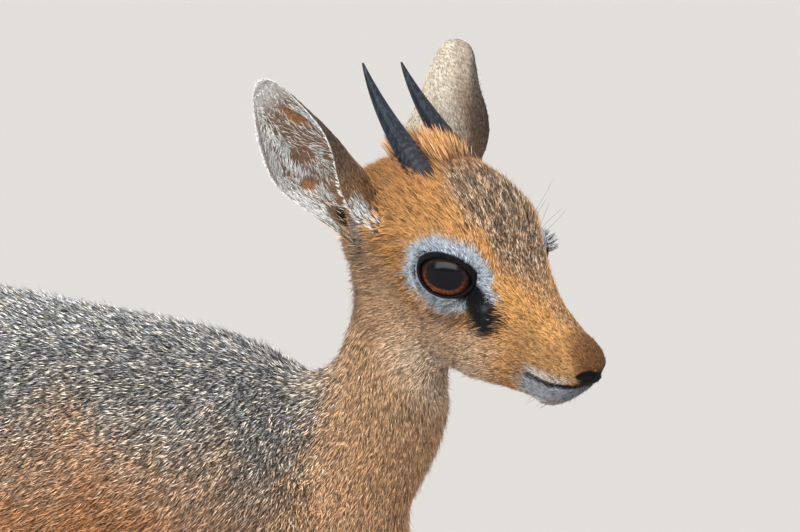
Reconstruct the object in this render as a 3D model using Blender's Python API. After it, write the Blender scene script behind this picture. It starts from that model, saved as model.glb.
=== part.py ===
"""A standing dik-dik, life size. The flesh is lofted, fused into one body and parted with thin cuts.

Sizes are in millimetres until mesh_object turns them into metres. The body's own frame has x ahead of
the withers, y to the animal's left and z above the floor; the last step centres the model on the floor.
"""

from math import cos, pi, radians, sin

import bmesh
import bpy
import numpy as np
from mathutils import Matrix, Vector

MM = 0.001
GAP = 0.3

# How the head is held: turned towards the animal's right and nose down
HEAD_YAW = radians(-25)
HEAD_PITCH = radians(30)
HEAD_CENTRE = np.array([95.0, -10.0, 402.0])

# Trunk, from the rump to the breast: ahead, top, widest level, bottom, half width
TORSO = [
    (-287, 338, 326, 312, 13),
    (-274, 360, 332, 290, 34),
    (-250, 377, 332, 272, 46),
    (-215, 388, 328, 261, 53),
    (-170, 393, 322, 246, 57),
    (-120, 387, 315, 232, 59),
    (-70, 380, 308, 222, 57),
    (-25, 374, 302, 217, 53),
    (8, 366, 300, 220, 48),
    (34, 348.5, 297, 232, 40),
    (54, 325, 292, 249, 29),
    (66, 304, 288, 268, 14),
]
TORSO_EXPONENTS = (2.1, 2.0)  # above and below the widest level

# Limbs: centre ahead, left and up, half depth fore and aft, half width
NECK = [
    (-8, 0, 298, 43, 38),
    (26, 0, 316, 40, 34),
    (50, 0, 337, 31.5, 27),
    (59, 1, 357, 25, 22),
    (61.5, 3, 378, 23.5, 20.5),
    (60, 6, 398, 22, 19.5),
    (58, 8, 412, 17, 17),
]
TAIL = [
    (-266, 0, 352, 9, 10),
    (-285, 0, 349, 9, 10),
    (-297, 0, 339, 8, 9),
    (-303, 0, 325, 7.2, 8),
    (-305, 0, 311, 5.5, 6),
    (-306, 0, 301, 2.5, 3),
]
FORE_LEG = [
    (-10, 24, 342, 19, 9),
    (2, 37, 318, 25, 12),
    (14, 41, 284, 27, 14),
    (10, 43, 250, 23, 14),
    (0, 41, 225, 18, 12.5),
    (1, 37, 195, 14, 11),
    (4, 34, 162, 11, 9.2),
    (7, 33, 139, 9.4, 8.4),
    (8, 33, 126, 9.6, 8.8),
    (7, 33, 112, 7.8, 7.4),
    (6, 33, 82, 6.9, 6.5),
    (6, 33, 57, 7.1, 6.8),
    (6, 33, 45, 8.8, 8.1),
    (12, 33, 32, 7.6, 7.3),
    (17, 34, 22, 8.6, 8.2),
    (20, 34, 11, 9.2, 8.6),
]
HIND_LEG = [
    (-232, 24, 366, 28, 13),
    (-224, 38, 332, 40, 18),
    (-212, 46, 292, 43, 20),
    (-203, 46, 256, 35, 18.5),
    (-207, 44, 226, 26, 16),
    (-223, 40, 198, 18.5, 13),
    (-244, 37, 172, 13, 10.5),
    (-262, 36, 151, 12, 9.2),
    (-264, 36, 136, 11.2, 8.8),
    (-258, 36, 115, 8.6, 7.7),
    (-252, 36, 86, 7.5, 7.1),
    (-248, 36, 61, 7.7, 7.3),
    (-246, 36, 47, 9.3, 8.4),
    (-240, 36, 34, 8, 7.7),
    (-235, 37, 23, 8.8, 8.3),
    (-232, 37, 11, 9.3, 8.7),
]
LEG_STEPS = {"front_left": 7, "front_right": -6, "rear_left": -8, "rear_right": 9}

# Head, from the nape to the nose tip: ahead of the eyes, top, widest level, bottom, half width,
# roundness above and below the widest level
HEAD = [
    (-61, 4, -5, -14, 11, 2.0, 2.0),
    (-54, 13, -4, -27, 19, 2.0, 2.0),
    (-45, 21, -3, -35, 23, 2.1, 1.9),
    (-34, 28, 0, -39, 25.5, 2.3, 1.8),
    (-20, 31, 3, -42, 27, 2.5, 1.8),
    (-4, 28.5, 4, -43, 27.5, 2.6, 1.8),
    (10, 22.5, 1, -42, 23.5, 2.4, 1.85),
    (24, 15.5, -3, -37, 18.5, 2.2, 1.95),
    (38, 11.2, -6, -31, 14.5, 2.1, 2.05),
    (50, 9.2, -7, -26.3, 12.5, 2.1, 2.2),
    (59.5, 7, -6, -22.3, 11, 2.2, 2.3),
    (65.5, 4, -3.5, -13, 8.6, 2.2, 2.2),
    (69.2, 1.3, -1, -4, 4.2, 2.0, 2.0),
]
HEAD_RINGS, HEAD_SIDES = 36, 32

# Soft rises on the head: centre (ahead, up, side), radius, height; each is on both sides
RISES = [
    ((4, 24, 20), 9, 1.6),
    ((26, -6, 17), 8, 1.2),
    ((-8, -24, 20), 13, 1.6),
    ((61.2, 3.0, 7), 6, 1.3),
    ((54.5, -20.5, 7), 7, 1.0),
]

# Eyes
BALL_RADIUS = 13.0
BALL = (0.8, 2.6, 18.5)  # centre of the left eyeball: ahead, up, outward
LID = 1.9
SIGHT = np.array([0.42, 0.12, 0.90])  # ahead, up, outward
SLIT = np.array([0.88, 0.19, -0.43])  # from the rear corner to the tear corner
SLIT_FRONT, SLIT_REAR, SLIT_UP, SLIT_DOWN = 12.2, 11.6, 8.5, 8.4

# Mouth and nose
MOUTH_CORNER = (45.5, -15.0)  # ahead, up
MOUTH_FRONT = (67.3, -7.5)
MOUTH_SAG = 1.6
MUZZLE_CENTRE, MUZZLE_LENGTH, MUZZLE_WIDTH = 41.5, 25.3, 12.4
MOUTH_OUTER, MOUTH_INNER = 1.35, 0.76
MOUTH_HEIGHT = (0.3, 0.75)  # half height of the slit at its inner and outer edge
NOSTRIL = (68.2, -0.7, 5.0)
NOSTRIL_SIZE = (3.0, 1.5, 1.9)
NOSTRIL_SLANT, NOSTRIL_FACING = (0.62, 0.62, -0.5), (0.7, -0.5, 0.5)
GLAND = (20.5, -5.5, 20.5)
GLAND_SIZE = (3.6, 1.1, 3.0)
GLAND_SLANT, GLAND_FACING = (0.75, -0.35, -0.45), (0.3, 0.0, 0.95)

# Horns
HORN_BASE = np.array([-32.0, 22.5, 13.0])
HORN_TIP = {"right": (-79, 42.0, 12.5), "left": (-79, 38.8, 12.5)}
HORN_BOW = (-3.0, -1.4, 0)
HORN_RADIUS = 5.7
HORN_SUNK = 0.14
HORN_RIDGES = 4

# Ears: the right one faces the viewer, the left one is turned further outwards
EAR_BASE = np.array([-28.0, -7.0, 13.5])
EAR_BOW = np.array([-2.2, -4.6, 0.0])
EAR_LENGTH = 85.0
EAR_AXIS = {"right": (-0.80, 0.437, 0.465), "left": (-0.70, 0.565, 0.44)}
EAR_FACING = {"right": (0.50, 0.10, 0.86), "left": (0.02, -0.15, 0.98)}
EAR_CUT = 22.0  # along the ear, where it is parted from the head
EAR_THICK = 1.8
EAR_STEPS, EAR_ACROSS = 16, 15
# along the ear: radius of its cup, half angle that the cup curls through, turn of its slit, in degrees
EAR_SHEET = [
    (0.0, 9.5, 140, -32),
    (0.15, 11, 143, -32),
    (0.3, 12, 136, -30),
    (0.45, 14, 114, -24),
    (0.55, 15.4, 98, -17),
    (0.66, 15.0, 84, -10),
    (0.77, 12.8, 73, -5),
    (0.87, 10, 62, -2),
    (0.95, 7.5, 50, 0),
    (1.0, 4.0, 40, 0),
]

# Crest between the horns
CREST_ROWS, CREST_LOCKS = 4, 6
CREST_FRONT, CREST_ROW_STEP, CREST_SPACING = -31.0, 4.5, 2.5
CREST_LENGTH = 15.0
CREST_SUNK = 2.5
CREST_LEAN, CREST_DROOP = (-0.72, 0.62), np.array([-0.9, -0.35, 0.0])
CREST_SECTIONS = [(0, 1.8), (0.4, 1.9), (0.75, 1.2), (1.0, 0.35)]  # along the lock, half width
CREST_FLATNESS = 0.42
CREST_SEED = 5

# Thin cuts between the parts: a point in the cut, its normal, the way it is long, length and width
CUTS = {
    "head": ((61, 3, 371), (0.80, -0.10, 0.60), (-0.6, 0, 0.8), 92, 78),
    "neck": ((55, 0, 332), (0.73, 0, 0.686), (0.686, 0, -0.73), 98, 110),
    "tail": ((-293, 0, 343), (-0.97, 0, -0.243), (0.243, 0, -0.97), 28, 30),
}
LEG_CUTS = [
    ((8, 42, 238), (0, 0.62, -0.79), (1, 0, 0), 96, 62),
    ((-205, 46, 262), (0, 0.68, -0.73), (1, 0, 0), 120, 74),
]
EAR_CUT_NORMAL, EAR_CUT_LONG = (-0.45, 0.25, 0.86), (0.8, 0.3, 0.0)
EAR_CUT_SIZE = (44, 40)

# How one skin is made of the trunk and limbs
VOXEL = 3.0
EASING_FROM, EASING_FULL = 0.17, 0.22  # metres up: no easing below the first, full above the second
EASING_ROUNDS = 26
KEPT_FACES = 0.076

# Where the middles of the parted pieces lie, by which they are told apart
LEG_BELOW, FORE_AHEAD_OF, TAIL_BEHIND, TORSO_BEHIND, HEAD_ABOVE = 170, -100, -292, 0, 370
EAR_BEHIND_EYES = -44

# Hooves
CORONET = 16.5
CLAW_TOP, CLAW_SOLE = (7.4, 7.0), (15.0, 8.2)  # reach ahead and behind of the coronet's centre
CLAW_WIDTH = 7.6
CLEFT, CLAW_SPREAD = 0.5, 2.2


def through(stations, count=None, at=None):
    """Rows read along a smooth curve through the stations, whose first column grows or falls steadily."""
    table = np.array(stations, float)
    keys = table[:, 0]
    slopes = np.gradient(table, keys, axis=0)
    at = np.linspace(keys[0], keys[-1], count) if at is None else np.asarray(at, float)
    order = np.searchsorted(keys, at, side="right") - 1
    i = np.clip(order, 0, len(keys) - 2)
    span = (keys[i + 1] - keys[i])[:, None]
    t = (at - keys[i])[:, None] / span
    return (
        (2 * t**3 - 3 * t**2 + 1) * table[i]
        + (t**3 - 2 * t**2 + t) * span * slopes[i]
        + (3 * t**2 - 2 * t**3) * table[i + 1]
        + (t**3 - t**2) * span * slopes[i + 1]
    )


def power(x, exponent):
    return np.sign(x) * np.abs(x) ** exponent


def unit(vector):
    vector = np.asarray(vector, float)
    return vector / np.linalg.norm(vector, axis=-1, keepdims=True)


def head_axes():
    """The head's own forward, up and left directions in the body's frame."""
    level = np.array([cos(HEAD_YAW), sin(HEAD_YAW), 0])
    forward = level * cos(HEAD_PITCH) - np.array([0, 0, sin(HEAD_PITCH)])
    up = level * sin(HEAD_PITCH) + np.array([0, 0, cos(HEAD_PITCH)])
    return np.array([forward, up, np.cross(up, forward)])


def from_head(points):
    """Points given as ahead, up and left of the eyes, in the body's frame."""
    return HEAD_CENTRE + np.asarray(points, float) @ head_axes()


def mirrored(vector, side):
    """A head vector written for the left side, taken to the named side."""
    return np.asarray(vector, float) * (1, 1, 1 if side == "left" else -1)


def material(name, colour, roughness, metallic=0.0):
    made = bpy.data.materials.new(name)
    made.use_nodes = True
    shader = made.node_tree.nodes["Principled BSDF"]
    shader.inputs["Base Color"].default_value = (*colour, 1)
    shader.inputs["Roughness"].default_value = roughness
    shader.inputs["Metallic"].default_value = metallic
    return made


def mesh_object(name, points, faces):
    """An object from points in millimetres, with its faces turned outwards."""
    mesh = bpy.data.meshes.new(name)
    mesh.from_pydata((np.asarray(points) * MM).tolist(), [], faces)
    work = bmesh.new()
    work.from_mesh(mesh)
    bmesh.ops.recalc_face_normals(work, faces=work.faces)
    work.to_mesh(mesh)
    work.free()
    made = bpy.data.objects.new(name, mesh)
    bpy.context.scene.collection.objects.link(made)
    return made


def loft(name, rings):
    """A closed body over rings of equally many points, each end drawn to a point at its middle."""
    rings = np.asarray(rings, float)
    count, sides = rings.shape[:2]
    faces = []
    for i in range(count - 1):
        for j in range(sides):
            a, b = i * sides + j, i * sides + (j + 1) % sides
            faces.append((a, b, b + sides, a + sides))
    first, last = count * sides, count * sides + 1
    top = (count - 1) * sides
    for j in range(sides):
        faces.append((j, first, (j + 1) % sides))
        faces.append((top + j, top + (j + 1) % sides, last))
    ends = [rings[0].mean(axis=0), rings[-1].mean(axis=0)]
    return mesh_object(name, np.vstack([rings.reshape(-1, 3), ends]), faces)


def apply_modifiers(target):
    """Replaces the object's mesh by what its modifiers make of it."""
    graph = bpy.context.evaluated_depsgraph_get()
    made = bpy.data.meshes.new_from_object(target.evaluated_get(graph))
    target.modifiers.clear()
    target.data = made


def combine(target, others, operation):
    """One Boolean of the target with several closed bodies, which are then removed."""
    group = bpy.data.collections.new("pieces")
    bpy.context.scene.collection.children.link(group)
    for other in others:
        bpy.context.scene.collection.objects.unlink(other)
        group.objects.link(other)
    boolean = target.modifiers.new("combine", "BOOLEAN")
    boolean.operand_type = "COLLECTION"
    boolean.collection = group
    boolean.operation = operation
    boolean.solver = "MANIFOLD"
    bpy.context.view_layer.update()
    apply_modifiers(target)
    for other in others:
        bpy.data.objects.remove(other)
    bpy.data.collections.remove(group)


def tube(name, stations, sides=20, per_span=3):
    """A limb along a smooth path, each ring square to the path, with its width kept level."""
    table = np.array(stations, float)
    path = through(np.column_stack([np.arange(len(table)), table]), (len(table) - 1) * per_span + 1)[:, 1:]
    along = unit(np.gradient(path[:, :3], axis=0))
    ahead = unit(np.cross(np.array([0, 1, 0]), along))
    sideways = np.cross(along, ahead)
    turn = np.linspace(0, 2 * pi, sides, endpoint=False)
    rings = (
        path[:, None, :3]
        + ahead[:, None] * path[:, None, 3:4] * np.cos(turn)[None, :, None]
        + sideways[:, None] * path[:, None, 4:5] * np.sin(turn)[None, :, None]
    )
    return loft(name, rings)


def torso():
    rows = through(TORSO, 40)
    turn = np.linspace(0, 2 * pi, 36, endpoint=False)
    rise, side = np.sin(turn), np.cos(turn)
    rings = []
    for ahead, top, wide, bottom, half in rows:
        upper, lower = TORSO_EXPONENTS
        height = np.where(
            rise > 0, (top - wide) * power(rise, 2 / upper), (wide - bottom) * power(rise, 2 / lower)
        )
        bend = np.where(rise > 0, 2 / upper, 2 / lower)
        rings.append(np.column_stack([np.full(36, ahead), half * power(side, bend), wide + height]))
    return loft("torso", rings)


def legs():
    made = []
    for name, shift in LEG_STEPS.items():
        stations = np.array(FORE_LEG if name.startswith("front") else HIND_LEG, float)
        # the foot carries the whole step, and the top of the limb none of it
        stations[:, 0] += shift * np.clip((260 - stations[:, 2]) / 240, 0, 1)
        stations[:, 1] *= 1 if name.endswith("left") else -1
        made.append(tube(name, stations))
    return made


def whole_body():
    """Trunk, neck, tail and legs as one smooth skin, still without the head."""
    body = torso()
    combine(body, [tube("neck", NECK), tube("tail", TAIL), *legs()], "UNION")
    remesh = body.modifiers.new("one skin", "REMESH")
    remesh.mode = "VOXEL"
    remesh.voxel_size = VOXEL * MM
    apply_modifiers(body)
    # the joints of trunk and limbs are eased, and the thin lower legs are left as they are
    easing = body.vertex_groups.new(name="easing")
    for vertex in body.data.vertices:
        share = (vertex.co.z - EASING_FROM) / (EASING_FULL - EASING_FROM)
        easing.add([vertex.index], min(1, max(0, share)), "REPLACE")
    smooth = body.modifiers.new("ease joints", "SMOOTH")
    smooth.factor = 0.5
    smooth.iterations = EASING_ROUNDS
    smooth.vertex_group = "easing"
    thin = body.modifiers.new("fewer faces", "DECIMATE")
    thin.ratio = KEPT_FACES
    apply_modifiers(body)
    body.vertex_groups.clear()
    return body


def head_row(at):
    return through(HEAD, at=np.atleast_1d(at))


def eye_centre(side):
    return mirrored(BALL, side)


def lift_lids(points):
    """Pushes the head's surface out to the lids, which lie on the eyeballs."""
    reach = BALL_RADIUS + LID
    for side in ("left", "right"):
        centre = eye_centre(side)
        away = points - centre
        distance = np.linalg.norm(away, axis=-1, keepdims=True)
        soft = 0.5 * (distance + reach + np.sqrt((distance - reach) ** 2 + 2.0))
        near = np.clip((reach + 8 - distance) / 8, 0, 1)
        outward = np.clip(away[..., 2:] * np.sign(centre[2]) / 4, 0, 1)
        points = points + away / distance * (soft - distance) * near * outward
    return points


def head():
    """The head as rings from the nape to the nose, with brows, cheeks, lips and lids raised on them."""
    share = np.linspace(0, 1, HEAD_RINGS)
    first, last = HEAD[0][0], HEAD[-1][0]
    rows = head_row(first + (last - first) * share)
    turn = np.linspace(0, 2 * pi, HEAD_SIDES, endpoint=False)[None]
    ahead, top, wide, bottom, half, upper, lower = (rows[:, i : i + 1] for i in range(7))
    rise, side = np.sin(turn), np.cos(turn)
    bend = np.where(rise > 0, 2 / upper, 2 / lower)
    height = np.where(rise > 0, top - wide, wide - bottom)
    points = np.stack(
        [ahead + 0 * turn, wide + height * power(rise, bend), half * power(side, bend)], axis=-1
    )
    middle = np.stack([ahead[:, 0], wide[:, 0], 0 * wide[:, 0]], axis=-1)[:, None]
    for (f, u, s), radius, rise_height in RISES:
        for sign in (1, -1):
            away = np.linalg.norm(points - np.array([f, u, s * sign]), axis=-1, keepdims=True)
            points = points + unit(points - middle) * rise_height * np.exp(-((away / radius) ** 2))
    return loft("head", from_head(lift_lids(points)))


def ball(name, centre, radius, scale=(1, 1, 1), turn=None, segments=22, rings=12):
    """A round body in the head's frame, stretched along three directions given as rows."""
    around = np.linspace(0, 2 * pi, segments, endpoint=False)
    down = np.linspace(0, pi, rings + 1)[1:-1]
    sphere = np.stack(
        [
            np.cos(down)[:, None] + 0 * around,
            np.sin(down)[:, None] * np.cos(around),
            np.sin(down)[:, None] * np.sin(around),
        ],
        axis=-1,
    )
    frame = np.eye(3) if turn is None else np.asarray(turn)
    poles = np.array([[1.0, 0, 0], [-1.0, 0, 0]]) * scale * radius @ frame
    made = loft(name, from_head(centre + (sphere * scale * radius) @ frame))
    # the caps' middle points are moved out to the poles
    for vertex, pole in zip(made.data.vertices[-2:], poles):
        vertex.co = Vector(from_head(centre + pole) * MM)
    return made


def sight_frame(side):
    """Along the line of sight, along the slit of the lids, and square to both."""
    sight = unit(mirrored(SIGHT, side))
    slit = mirrored(SLIT, side)
    slit = unit(slit - sight * (slit @ sight))
    rise = np.cross(sight, slit)
    return np.array([sight, slit, rise * np.sign(rise[1])])


def lid_opening(side):
    """An almond prism that opens the lids over the eyeball."""
    frame = sight_frame(side)
    turn = np.linspace(0, 2 * pi, 24, endpoint=False)
    reach = np.where(np.cos(turn) > 0, SLIT_FRONT, SLIT_REAR) * power(np.cos(turn), 0.92)
    lift = np.where(np.sin(turn) > 0, SLIT_UP, SLIT_DOWN) * power(np.sin(turn), 1.12)
    flat = reach[:, None] * frame[1] + lift[:, None] * frame[2]
    depths = ((4, 0.97), (13, 1.0), (26, 1.08))
    rings = [eye_centre(side) + flat * grow + frame[0] * out for out, grow in depths]
    return loft("lid opening", from_head(rings))


def mouth_slit():
    """A thin wedge that follows the lips round the muzzle from one corner of the mouth to the other."""
    turn = np.linspace(-0.47 * pi, 0.47 * pi, 25)
    ahead, side = power(np.cos(turn), 0.72), power(np.sin(turn), 0.72)
    rings = []
    for a, s in zip(ahead, side):
        lip = MUZZLE_CENTRE + MUZZLE_LENGTH * a
        t = min(1, max(0, (lip - MOUTH_CORNER[0]) / (MOUTH_FRONT[0] - MOUTH_CORNER[0])))
        level = MOUTH_CORNER[1] + (MOUTH_FRONT[1] - MOUTH_CORNER[1]) * t - 4 * MOUTH_SAG * t * (1 - t)
        corners = []
        for grow, half in ((MOUTH_INNER, MOUTH_HEIGHT[0]), (MOUTH_OUTER, MOUTH_HEIGHT[1])):
            f = MUZZLE_CENTRE + MUZZLE_LENGTH * a * (grow if a > 0.5 else 1)
            corners.append([(f, level + half * way, MUZZLE_WIDTH * s * grow) for way in (-1, 1)])
        rings.append([*corners[0], corners[1][1], corners[1][0]])
    return loft("mouth", from_head(rings))


def nostrils_and_glands():
    """Cutters for the comma of each nostril and the slit of each scent gland before the eye."""
    made = []
    pits = [
        ("nostril", NOSTRIL, NOSTRIL_SIZE, NOSTRIL_SLANT, NOSTRIL_FACING),
        ("gland", GLAND, GLAND_SIZE, GLAND_SLANT, GLAND_FACING),
    ]
    for side in ("left", "right"):
        for name, place, size, slant, facing in pits:
            slant = unit(mirrored(slant, side))
            across = unit(np.cross(slant, mirrored(facing, side)))
            frame = np.array([slant, across, np.cross(slant, across)])
            made.append(ball(name, mirrored(place, side), 1.0, size, frame, 12, 6))
    return made


def horn(side, share=(0.0, 1.0), grown=0.0):
    """A horn along a gentle bow, ringed near its base. Its lowest stretch stands in the skull."""
    base, tip, bow = (mirrored(v, side) for v in (HORN_BASE, HORN_TIP[side], HORN_BOW))
    steps, sides = 21, 12
    t = share[0] + (share[1] - share[0]) * np.linspace(0, 1, steps)
    t = t * (1 + HORN_SUNK) - HORN_SUNK
    path = base + (tip - base) * t[:, None] + bow * (4 * t * (1 - t))[:, None]
    along = unit(np.gradient(path, axis=0))
    across = unit(np.cross(along, (0, 1.0, 0)))
    third = np.cross(along, across)
    out = np.clip(t, 0, 1)
    taper = 0.45 + (HORN_RADIUS - 0.45) * (1 - out**1.15) ** 0.92
    ridges = 0.45 * np.sin(2 * pi * np.clip(out / 0.24, 0, 1) * HORN_RIDGES) ** 2 * (out < 0.24)
    radius = taper + (0.45 + grown if grown else ridges)
    turn = np.linspace(0, 2 * pi, sides, endpoint=False)
    rings = (
        path[:, None]
        + across[:, None] * radius[:, None, None] * np.cos(turn)[None, :, None]
        + third[:, None] * radius[:, None, None] * 1.12 * np.sin(turn)[None, :, None]
    )
    return loft(f"horn_{side}", from_head(rings))


def ear(side):
    """A leaf-shaped sheet, curled into a tube at its root and opening to a cup, alike on both faces."""
    steps, across_count = EAR_STEPS, EAR_ACROSS
    t = np.linspace(0, 1, steps)
    _, cup, curl, twist = through(EAR_SHEET, at=t).T
    curl, twist = np.radians(curl), np.radians(twist)
    axis = unit(mirrored(EAR_AXIS[side], side))
    facing = mirrored(EAR_FACING[side], side)
    facing = unit(facing - axis * (facing @ axis))
    wide = np.cross(axis, facing) * (1 if side == "left" else -1)
    open_way = facing * np.cos(twist)[:, None] + wide * np.sin(twist)[:, None]
    width_way = wide * np.cos(twist)[:, None] - facing * np.sin(twist)[:, None]
    v = np.linspace(-1, 1, across_count)[None]
    radius = cup[:, None]
    angle = curl[:, None] * v
    line = mirrored(EAR_BASE, side) + axis * (EAR_LENGTH * t)[:, None] + EAR_BOW * (4 * t * (1 - t))[:, None]
    settle = 0.5 * radius * (1 - np.cos(curl))[:, None]
    surfaces = []
    for way in (0.5, -0.5):
        shell = radius + way * EAR_THICK * (1 - 0.45 * v**4)
        surfaces.append(
            line[:, None]
            + width_way[:, None] * (shell * np.sin(angle))[..., None]
            + open_way[:, None] * (radius - shell * np.cos(angle) - settle)[..., None]
        )
    points = from_head(np.array(surfaces)).reshape(-1, 3)
    layer = steps * across_count
    faces = []
    for i in range(steps - 1):
        for j in range(across_count - 1):
            a = i * across_count + j
            b, c, d = a + 1, a + across_count + 1, a + across_count
            faces += [(a, b, c), (a, c, d)]
            faces += [(layer + b, layer + a, layer + c), (layer + c, layer + a, layer + d)]
    rim = [i * across_count for i in range(steps)]
    rim += [(steps - 1) * across_count + j for j in range(1, across_count)]
    rim += [i * across_count + across_count - 1 for i in range(steps - 2, -1, -1)]
    rim += list(range(across_count - 2, 0, -1))
    for a, b in zip(rim, rim[1:] + rim[:1]):
        faces += [(a, b, layer + a), (b, layer + b, layer + a)]
    return mesh_object(f"ear_{side}", points, faces)


def crest():
    """Flat tapered locks between and behind the horns, leaning back over one another."""
    chance = np.random.default_rng(CREST_SEED)
    locks = []
    for row in range(CREST_ROWS):
        for column in range(CREST_LOCKS - row % 2):
            across = (column - (CREST_LOCKS - 1 - row % 2) / 2) * CREST_SPACING
            f = CREST_FRONT - CREST_ROW_STEP * row + chance.uniform(-1, 1)
            _, top, wide, _, half, upper, _ = head_row(f)[0]
            u = wide + (top - wide) * (1 - abs(across / half) ** upper) ** (1 / upper)
            root = np.array([f, u - CREST_SUNK, across])
            back, rise = CREST_LEAN
            lean = unit((back + chance.uniform(-0.1, 0.1), rise + 0.08 * row, across * 0.03))
            length = CREST_LENGTH * chance.uniform(0.85, 1.15)
            side = unit(np.cross(lean, (0, 1, 0)))
            flat = np.cross(side, lean) * CREST_FLATNESS
            rings = []
            for t, width in CREST_SECTIONS:
                point = root + lean * length * t + CREST_DROOP * length * 0.28 * t * t
                rings.append([point + way * width for way in (side, flat, -side, -flat)])
            locks.append(loft("lock", from_head(rings)))
    return locks


def thin_cut(centre, normal, length_way, length, width):
    """A plate as thick as the gap, which parts the flesh where it crosses."""
    normal = unit(normal)
    length_way = np.asarray(length_way, float)
    length_way = unit(length_way - normal * (length_way @ normal))
    width_way = np.cross(normal, length_way)
    around = ((1, 1), (-1, 1), (-1, -1), (1, -1))
    corners = [length_way * length / 2 * a + width_way * width / 2 * b for a, b in around]
    rings = [[np.asarray(centre) + c + normal * GAP / 2 * way for c in corners] for way in (-1, 1)]
    return loft("cut", rings)


def body_cuts():
    """The plates that part head, neck, trunk, tail, legs and ears from one another."""
    cuts = [thin_cut(*cut) for cut in CUTS.values()]
    for centre, normal, length_way, length, width in LEG_CUTS:
        for sign in (1, -1):
            over = np.array([1, sign, 1])
            cuts.append(thin_cut(centre * over, normal * over, length_way, length, width))
    rows = head_axes()
    for side in ("left", "right"):
        away = mirrored(EAR_CUT_NORMAL, side) @ rows
        centre = mirrored(EAR_BASE, side) + unit(mirrored(EAR_AXIS[side], side)) * EAR_CUT
        cuts.append(thin_cut(from_head(centre), away, EAR_CUT_LONG @ rows, *EAR_CUT_SIZE))
    return cuts


def floor_cut():
    """Takes the legs off level at the coronet, where the hooves begin."""
    half = 400
    level = CORONET + GAP
    corners = [(half, half), (-half, half), (-half, -half), (half, -half)]
    return loft("floor", [[(x, y, z) for x, y in corners] for z in (-60, level)])


def claw(name, ahead, side, sign):
    """One claw of a cloven hoof, with a flat sole, a pointed toe and an inner wall that leaves the cleft."""
    turn = np.linspace(0, pi, 9)
    inward = np.linspace(-1, 1, 6)[1:-1]
    rings = []
    for height in np.linspace(0, 1, 4):
        front = CLAW_SOLE[0] + (CLAW_TOP[0] - CLAW_SOLE[0]) * height**0.8
        rear = CLAW_SOLE[1] + (CLAW_TOP[1] - CLAW_SOLE[1]) * height
        along = np.concatenate([np.cos(turn), inward])
        x = np.where(along > 0, front, rear) * along
        parting = CLEFT + CLAW_SPREAD * np.clip(along, 0, 1) ** 2 * (1 - 0.5 * height)
        bulge = np.concatenate([np.sin(turn) ** 0.8, np.zeros(len(inward))])
        toe = 1 - 0.35 * np.clip(along, 0, 1) ** 2 * (1 - height)
        y = parting + (CLAW_WIDTH - 0.3 * height) * bulge * toe
        z = np.full_like(x, height * CORONET)
        rings.append(np.column_stack([ahead + x, side + sign * y, z]))
    return loft(name, rings)


def name_of(piece):
    """The name of a parted piece, from where its middle lies."""
    points = np.array([v.co for v in piece.data.vertices]) / MM
    middle = (points.min(axis=0) + points.max(axis=0)) / 2
    in_head = (middle - HEAD_CENTRE) @ head_axes().T
    if middle[2] < LEG_BELOW:
        front = "front" if middle[0] > FORE_AHEAD_OF else "rear"
        return f"leg_{front}_{'left' if middle[1] > 0 else 'right'}"
    if middle[0] < TAIL_BEHIND:
        return "tail"
    if middle[0] < TORSO_BEHIND:
        return "torso"
    if in_head[0] < EAR_BEHIND_EYES:
        return "ear_left" if in_head[2] > 0 else "ear_right"
    return "head" if middle[2] > HEAD_ABOVE else "neck"


def parted(whole):
    """The closed pieces of a cut body, each its own object; only the largest of each name is kept."""
    work = bmesh.new()
    work.from_mesh(whole.data)
    work.verts.ensure_lookup_table()
    left = set(work.verts)
    kept = {}
    while left:
        stack = [left.pop()]
        island = set(stack)
        while stack:
            for edge in stack.pop().link_edges:
                for vertex in edge.verts:
                    if vertex not in island:
                        island.add(vertex)
                        stack.append(vertex)
        left -= island
        index = {v: i for i, v in enumerate(sorted(island, key=lambda v: v.index))}
        points = np.array([v.co for v in index]) / MM
        faces = [[index[v] for v in f.verts] for f in work.faces if f.verts[0] in index]
        piece = mesh_object("piece", points, faces)
        name = name_of(piece)
        if name not in kept or len(kept[name].data.polygons) < len(piece.data.polygons):
            kept[name], piece = piece, kept.get(name)
        if piece is not None:
            bpy.data.objects.remove(piece)
    work.free()
    bpy.data.objects.remove(whole)
    for name, piece in kept.items():
        piece.name = name
    return kept


def flesh():
    """The fused animal, cut into its named parts."""
    whole = whole_body()
    combine(whole, [head(), ear("left"), ear("right")], "UNION")
    openings = [mouth_slit(), *nostrils_and_glands(), floor_cut()]
    for side in ("left", "right"):
        openings.append(ball("socket", eye_centre(side), BALL_RADIUS + GAP, turn=sight_frame(side)))
        openings.append(lid_opening(side))
        openings.append(horn(side, (0.0, 1.0), GAP))
    combine(whole, crest(), "UNION")
    combine(whole, openings, "DIFFERENCE")
    combine(whole, body_cuts(), "DIFFERENCE")
    return parted(whole)


def hooves():
    made = []
    for name, shift in LEG_STEPS.items():
        row = (FORE_LEG if name.startswith("front") else HIND_LEG)[-1]
        sign = 1 if name.endswith("left") else -1
        for place, outward in (("outer", sign), ("inner", -sign)):
            made.append(claw(f"hoof_{name}_{place}", row[0] + shift, row[1] * sign, outward))
    return made


def finish(made, coat, sharp_angle=40):
    made.data.materials.clear()
    made.data.materials.append(coat)
    made.data.shade_smooth()
    made.data.set_sharp_from_angle(angle=radians(sharp_angle))


def centre_on_floor(parts):
    """Moves the parts so that the middle of their common box is over the origin."""
    corners = np.array([part.matrix_world @ Vector(c) for part in parts for c in part.bound_box])
    middle = (corners.min(axis=0) + corners.max(axis=0)) / 2
    for part in parts:
        part.data.transform(Matrix.Translation((-middle[0], -middle[1], 0)))


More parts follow.
